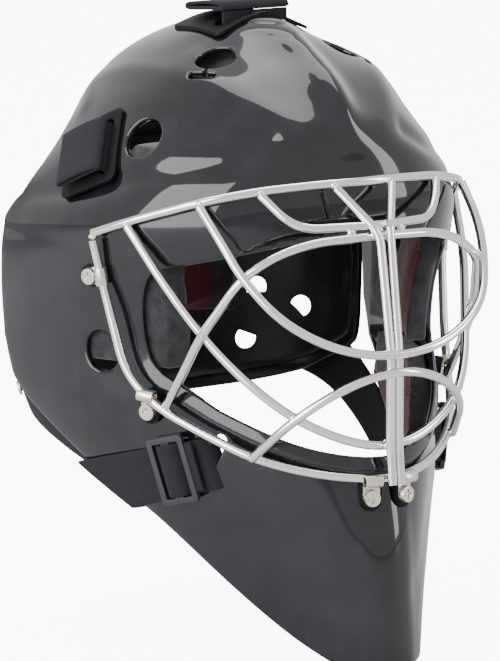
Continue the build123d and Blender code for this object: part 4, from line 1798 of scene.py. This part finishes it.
@dataclass
class FoldedTab:
    """Webbing that comes out of a slot, folds over and lies back over the shell.

    Attributes:
        node: The CAD node of the flap.
        body: The flap's body.
        place: Middle of the slot's mouth.
        normal: The way the slot faces.
        run: Direction along the slot.
        width: Width of the webbing.
        length: Length of the flap.
        lean: Angle by which the flap follows the shell down, in degrees.
        mirror: Whether it is on the wearer's left, mirrored from the right.
        stand: Height of the flap's underside over the slot's mouth.
    """

    node: str
    body: Body
    place: Triple
    normal: Triple
    run: Triple
    width: float
    length: float
    lean: float
    mirror: bool = False
    stand: float = 3.4

    def axes(self) -> tuple[np.ndarray, np.ndarray, np.ndarray]:
        """Return the directions along the slot, towards the flap's free end and out of the shell."""
        out = unit(self.normal)
        run = np.asarray(self.run, float)
        run = unit(run - out * (run @ out))
        away = np.cross(run, out)
        return run, away, out

    def sweep(
        self, profile: Sequence[Pair], name: str, width: float, thickness: float
    ) -> bpy.types.Object:
        """Sweep webbing along a side profile.

        Args:
            profile: Points (towards the free end, out of the shell) from the slot's mouth.
            name: The piece's name.
            width: Width of the webbing.
            thickness: Its thickness.

        Returns:
            The webbing.
        """
        run, away, out = self.axes()
        line = smooth_through(profile, 5)
        across = np.linspace(-width / 2, width / 2, 9)
        grid = (
            np.asarray(self.place)
            + line[:, None, :1] * away
            + line[:, None, 1:] * out
            + across[None, :, None] * run
        )
        if self.mirror:
            grid = grid * np.array([-1, 1, 1])
        return Strap(name, grid, thickness).build()

    def build(self) -> list[bpy.types.Object]:
        """Make the flap and the webbing standing in the slot.

        Returns:
            The finished pieces.
        """
        drop = sin(radians(self.lean))
        low, top = self.stand + 1.0, self.stand + 3.1
        far = self.length - 1.4
        profile = [
            (0.6, low - 0.6), (4, low - 4 * drop), (far * 0.5, low - far * 0.5 * drop),
            (far - 2, low - (far - 2) * drop), (far, low + 1.05 - far * drop),
            (far - 2, top - (far - 2) * drop), (far * 0.5, top + 0.7 - far * 0.5 * drop),
            (5, top + 0.3 - 5 * drop), (1.6, top - 0.2), (-0.2, top - 1.6), (-0.4, low - 0.9),
        ]  # fmt: skip
        flap = self.sweep(profile, f"{self.node}_folded", self.width, 1.8)
        finish_piece(flap, WEBBING_BLACK, self.body, self.node)
        riser = [(-0.2, -8.5), (-0.2, -4), (-0.1, 0), (0.0, self.stand - 0.6)]
        stub = self.sweep(riser, f"{self.node}_riser", self.width - 2, 1.9)
        finish_piece(stub, WEBBING_BLACK, Body.MASK, "webbing_in_slots")
        return [flap, stub]


SIDE_FOLD = dict(
    place=(-82.6, -3.5, 97.5), normal=(-0.86, -0.05, 0.5), run=(-0.5, -0.48, -0.72),
    width=27, length=29, lean=1.5,
)  # fmt: skip
TABS = (
    FoldedTab("top_tab", Body.TOP_TAB, (0, -4, 156.4), (0, 0, 1), (-1, 0, 0), 37, 34, 5),
    FoldedTab("upper_tab_right", Body.UPPER_TAB_RIGHT, **SIDE_FOLD),
    FoldedTab("upper_tab_left", Body.UPPER_TAB_LEFT, mirror=True, **SIDE_FOLD),
)


def hook_plates() -> bpy.types.Object:
    """Make the thin plates round the tabs' slots."""
    return finish_piece(softened_copy("hook_plates", 0.5, 3), HOOK_PLASTIC, Body.MASK, "hook_plates")


# ---------------------------------------------------------------- studio


@dataclass
class Studio:
    """Pale floor, soft lights and the camera.

    Attributes:
        azimuth: The camera's angle round the mask, in degrees from the front.
        elevation: Its angle above level.
        distance: Its distance from the frame's origin, in metres.
        focal: Focal length on a 36 mm sensor.
        air_light: Strength of the white air round the mask.
        white: Strength that reads as white to the camera.
        floor_height: Height of the floor, just under the chin, in metres.
    """

    azimuth: float = -32.0
    elevation: float = 10.2
    distance: float = 2.5
    focal: float = 276.7
    air_light: float = 1.05
    white: float = 9.0
    floor_height: float = -0.1438

    def camera(self) -> None:
        """Place the camera."""
        lens = bpy.data.cameras.new("camera")
        lens.sensor_fit = "VERTICAL"
        lens.sensor_height = 36.0
        lens.lens = self.focal
        lens.clip_start = 0.05
        lens.clip_end = 60
        camera = bpy.data.objects.new("camera", lens)
        bpy.context.scene.collection.objects.link(camera)
        turn, rise = radians(self.azimuth), radians(self.elevation)
        away = Vector((sin(turn) * cos(rise), -cos(turn) * cos(rise), sin(rise)))
        camera.location = away * self.distance
        camera.rotation_euler = (-away).to_track_quat("-Z", "Y").to_euler()
        bpy.context.scene.camera = camera

    def light(
        self, name: str, place: Triple, size: Pair, power: float, target: Triple = (0, 0, 0.02)
    ) -> None:
        """Add a softbox.

        Args:
            name: Its name.
            place: Its place in metres.
            size: Its width and height in metres.
            power: Its power in watts.
            target: The point it faces.
        """
        lamp = bpy.data.lights.new(name, "AREA")
        lamp.shape = "RECTANGLE"
        lamp.size, lamp.size_y = size
        lamp.energy = power
        holder = bpy.data.objects.new(name, lamp)
        bpy.context.scene.collection.objects.link(holder)
        holder.location = place
        holder.rotation_euler = (Vector(target) - Vector(place)).to_track_quat("-Z", "Y").to_euler()

    def floor(self) -> None:
        """Lay a pale floor under the chin."""
        select_none()
        bpy.ops.mesh.primitive_plane_add(size=16, location=(0, 0, self.floor_height))
        plane = bpy.context.view_layer.objects.active
        plane.name = "studio_floor"
        select_only(plane)
        bpy.ops.object.transform_apply(location=True, rotation=True, scale=True)
        paper = Finish("paper_sweep_white", "", "c4c4c6", 0.8).material()
        shader = paper.node_tree.nodes["Principled BSDF"]
        shader.inputs["Emission Color"].default_value = (1, 1, 1, 1)
        self.white_to_camera(paper.node_tree, shader.inputs["Emission Strength"], 0.0, self.white)
        plane.data.materials.append(paper)

    def white_to_camera(
        self, tree: bpy.types.NodeTree, strength: bpy.types.NodeSocket, light: float, white: float
    ) -> None:
        """Let a backdrop look white to the camera while it lights the mask less.

        Args:
            tree: The backdrop's nodes.
            strength: The strength that is set.
            light: Strength for the light that falls on the mask.
            white: Strength that the camera sees.
        """
        path = add_node(tree, "ShaderNodeLightPath")
        seen = add_node(
            tree, "ShaderNodeMath", {"operation": "MULTIPLY_ADD", 1: white - light, 2: light},
            {0: path.outputs["Is Camera Ray"]},
        )
        tree.links.new(seen.outputs["Value"], strength)

    def build(self) -> None:
        """Make the studio."""
        world = bpy.context.scene.world or bpy.data.worlds.new("studio_air")
        bpy.context.scene.world = world
        world.use_nodes = True
        air = world.node_tree.nodes["Background"]
        air.inputs["Color"].default_value = (1, 1, 1, 1)
        self.white_to_camera(world.node_tree, air.inputs["Strength"], self.air_light, self.white)
        self.floor()
        self.light("softbox_left", (-2.3, -0.4, 0.8), (2.4, 2.6), 130)
        self.light("softbox_top", (0.2, 0.4, 2.3), (1.8, 1.4), 32)
        self.light("softbox_right", (1.9, -1.7, 0.9), (0.5, 2.0), 20)
        self.camera()


def main() -> None:
    """Build every sub-assembly in order."""
    logging.basicConfig(level=logging.INFO, format="%(message)s")
    Studio().build()
    Shell().build()
    Cage().build()
    BackPlate().build()
    Harness().build()
    for tab in TABS:
        tab.build()
    hook_plates()
    for pad in LINER:
        pad.build()


if __name__ == "__main__":
    main()
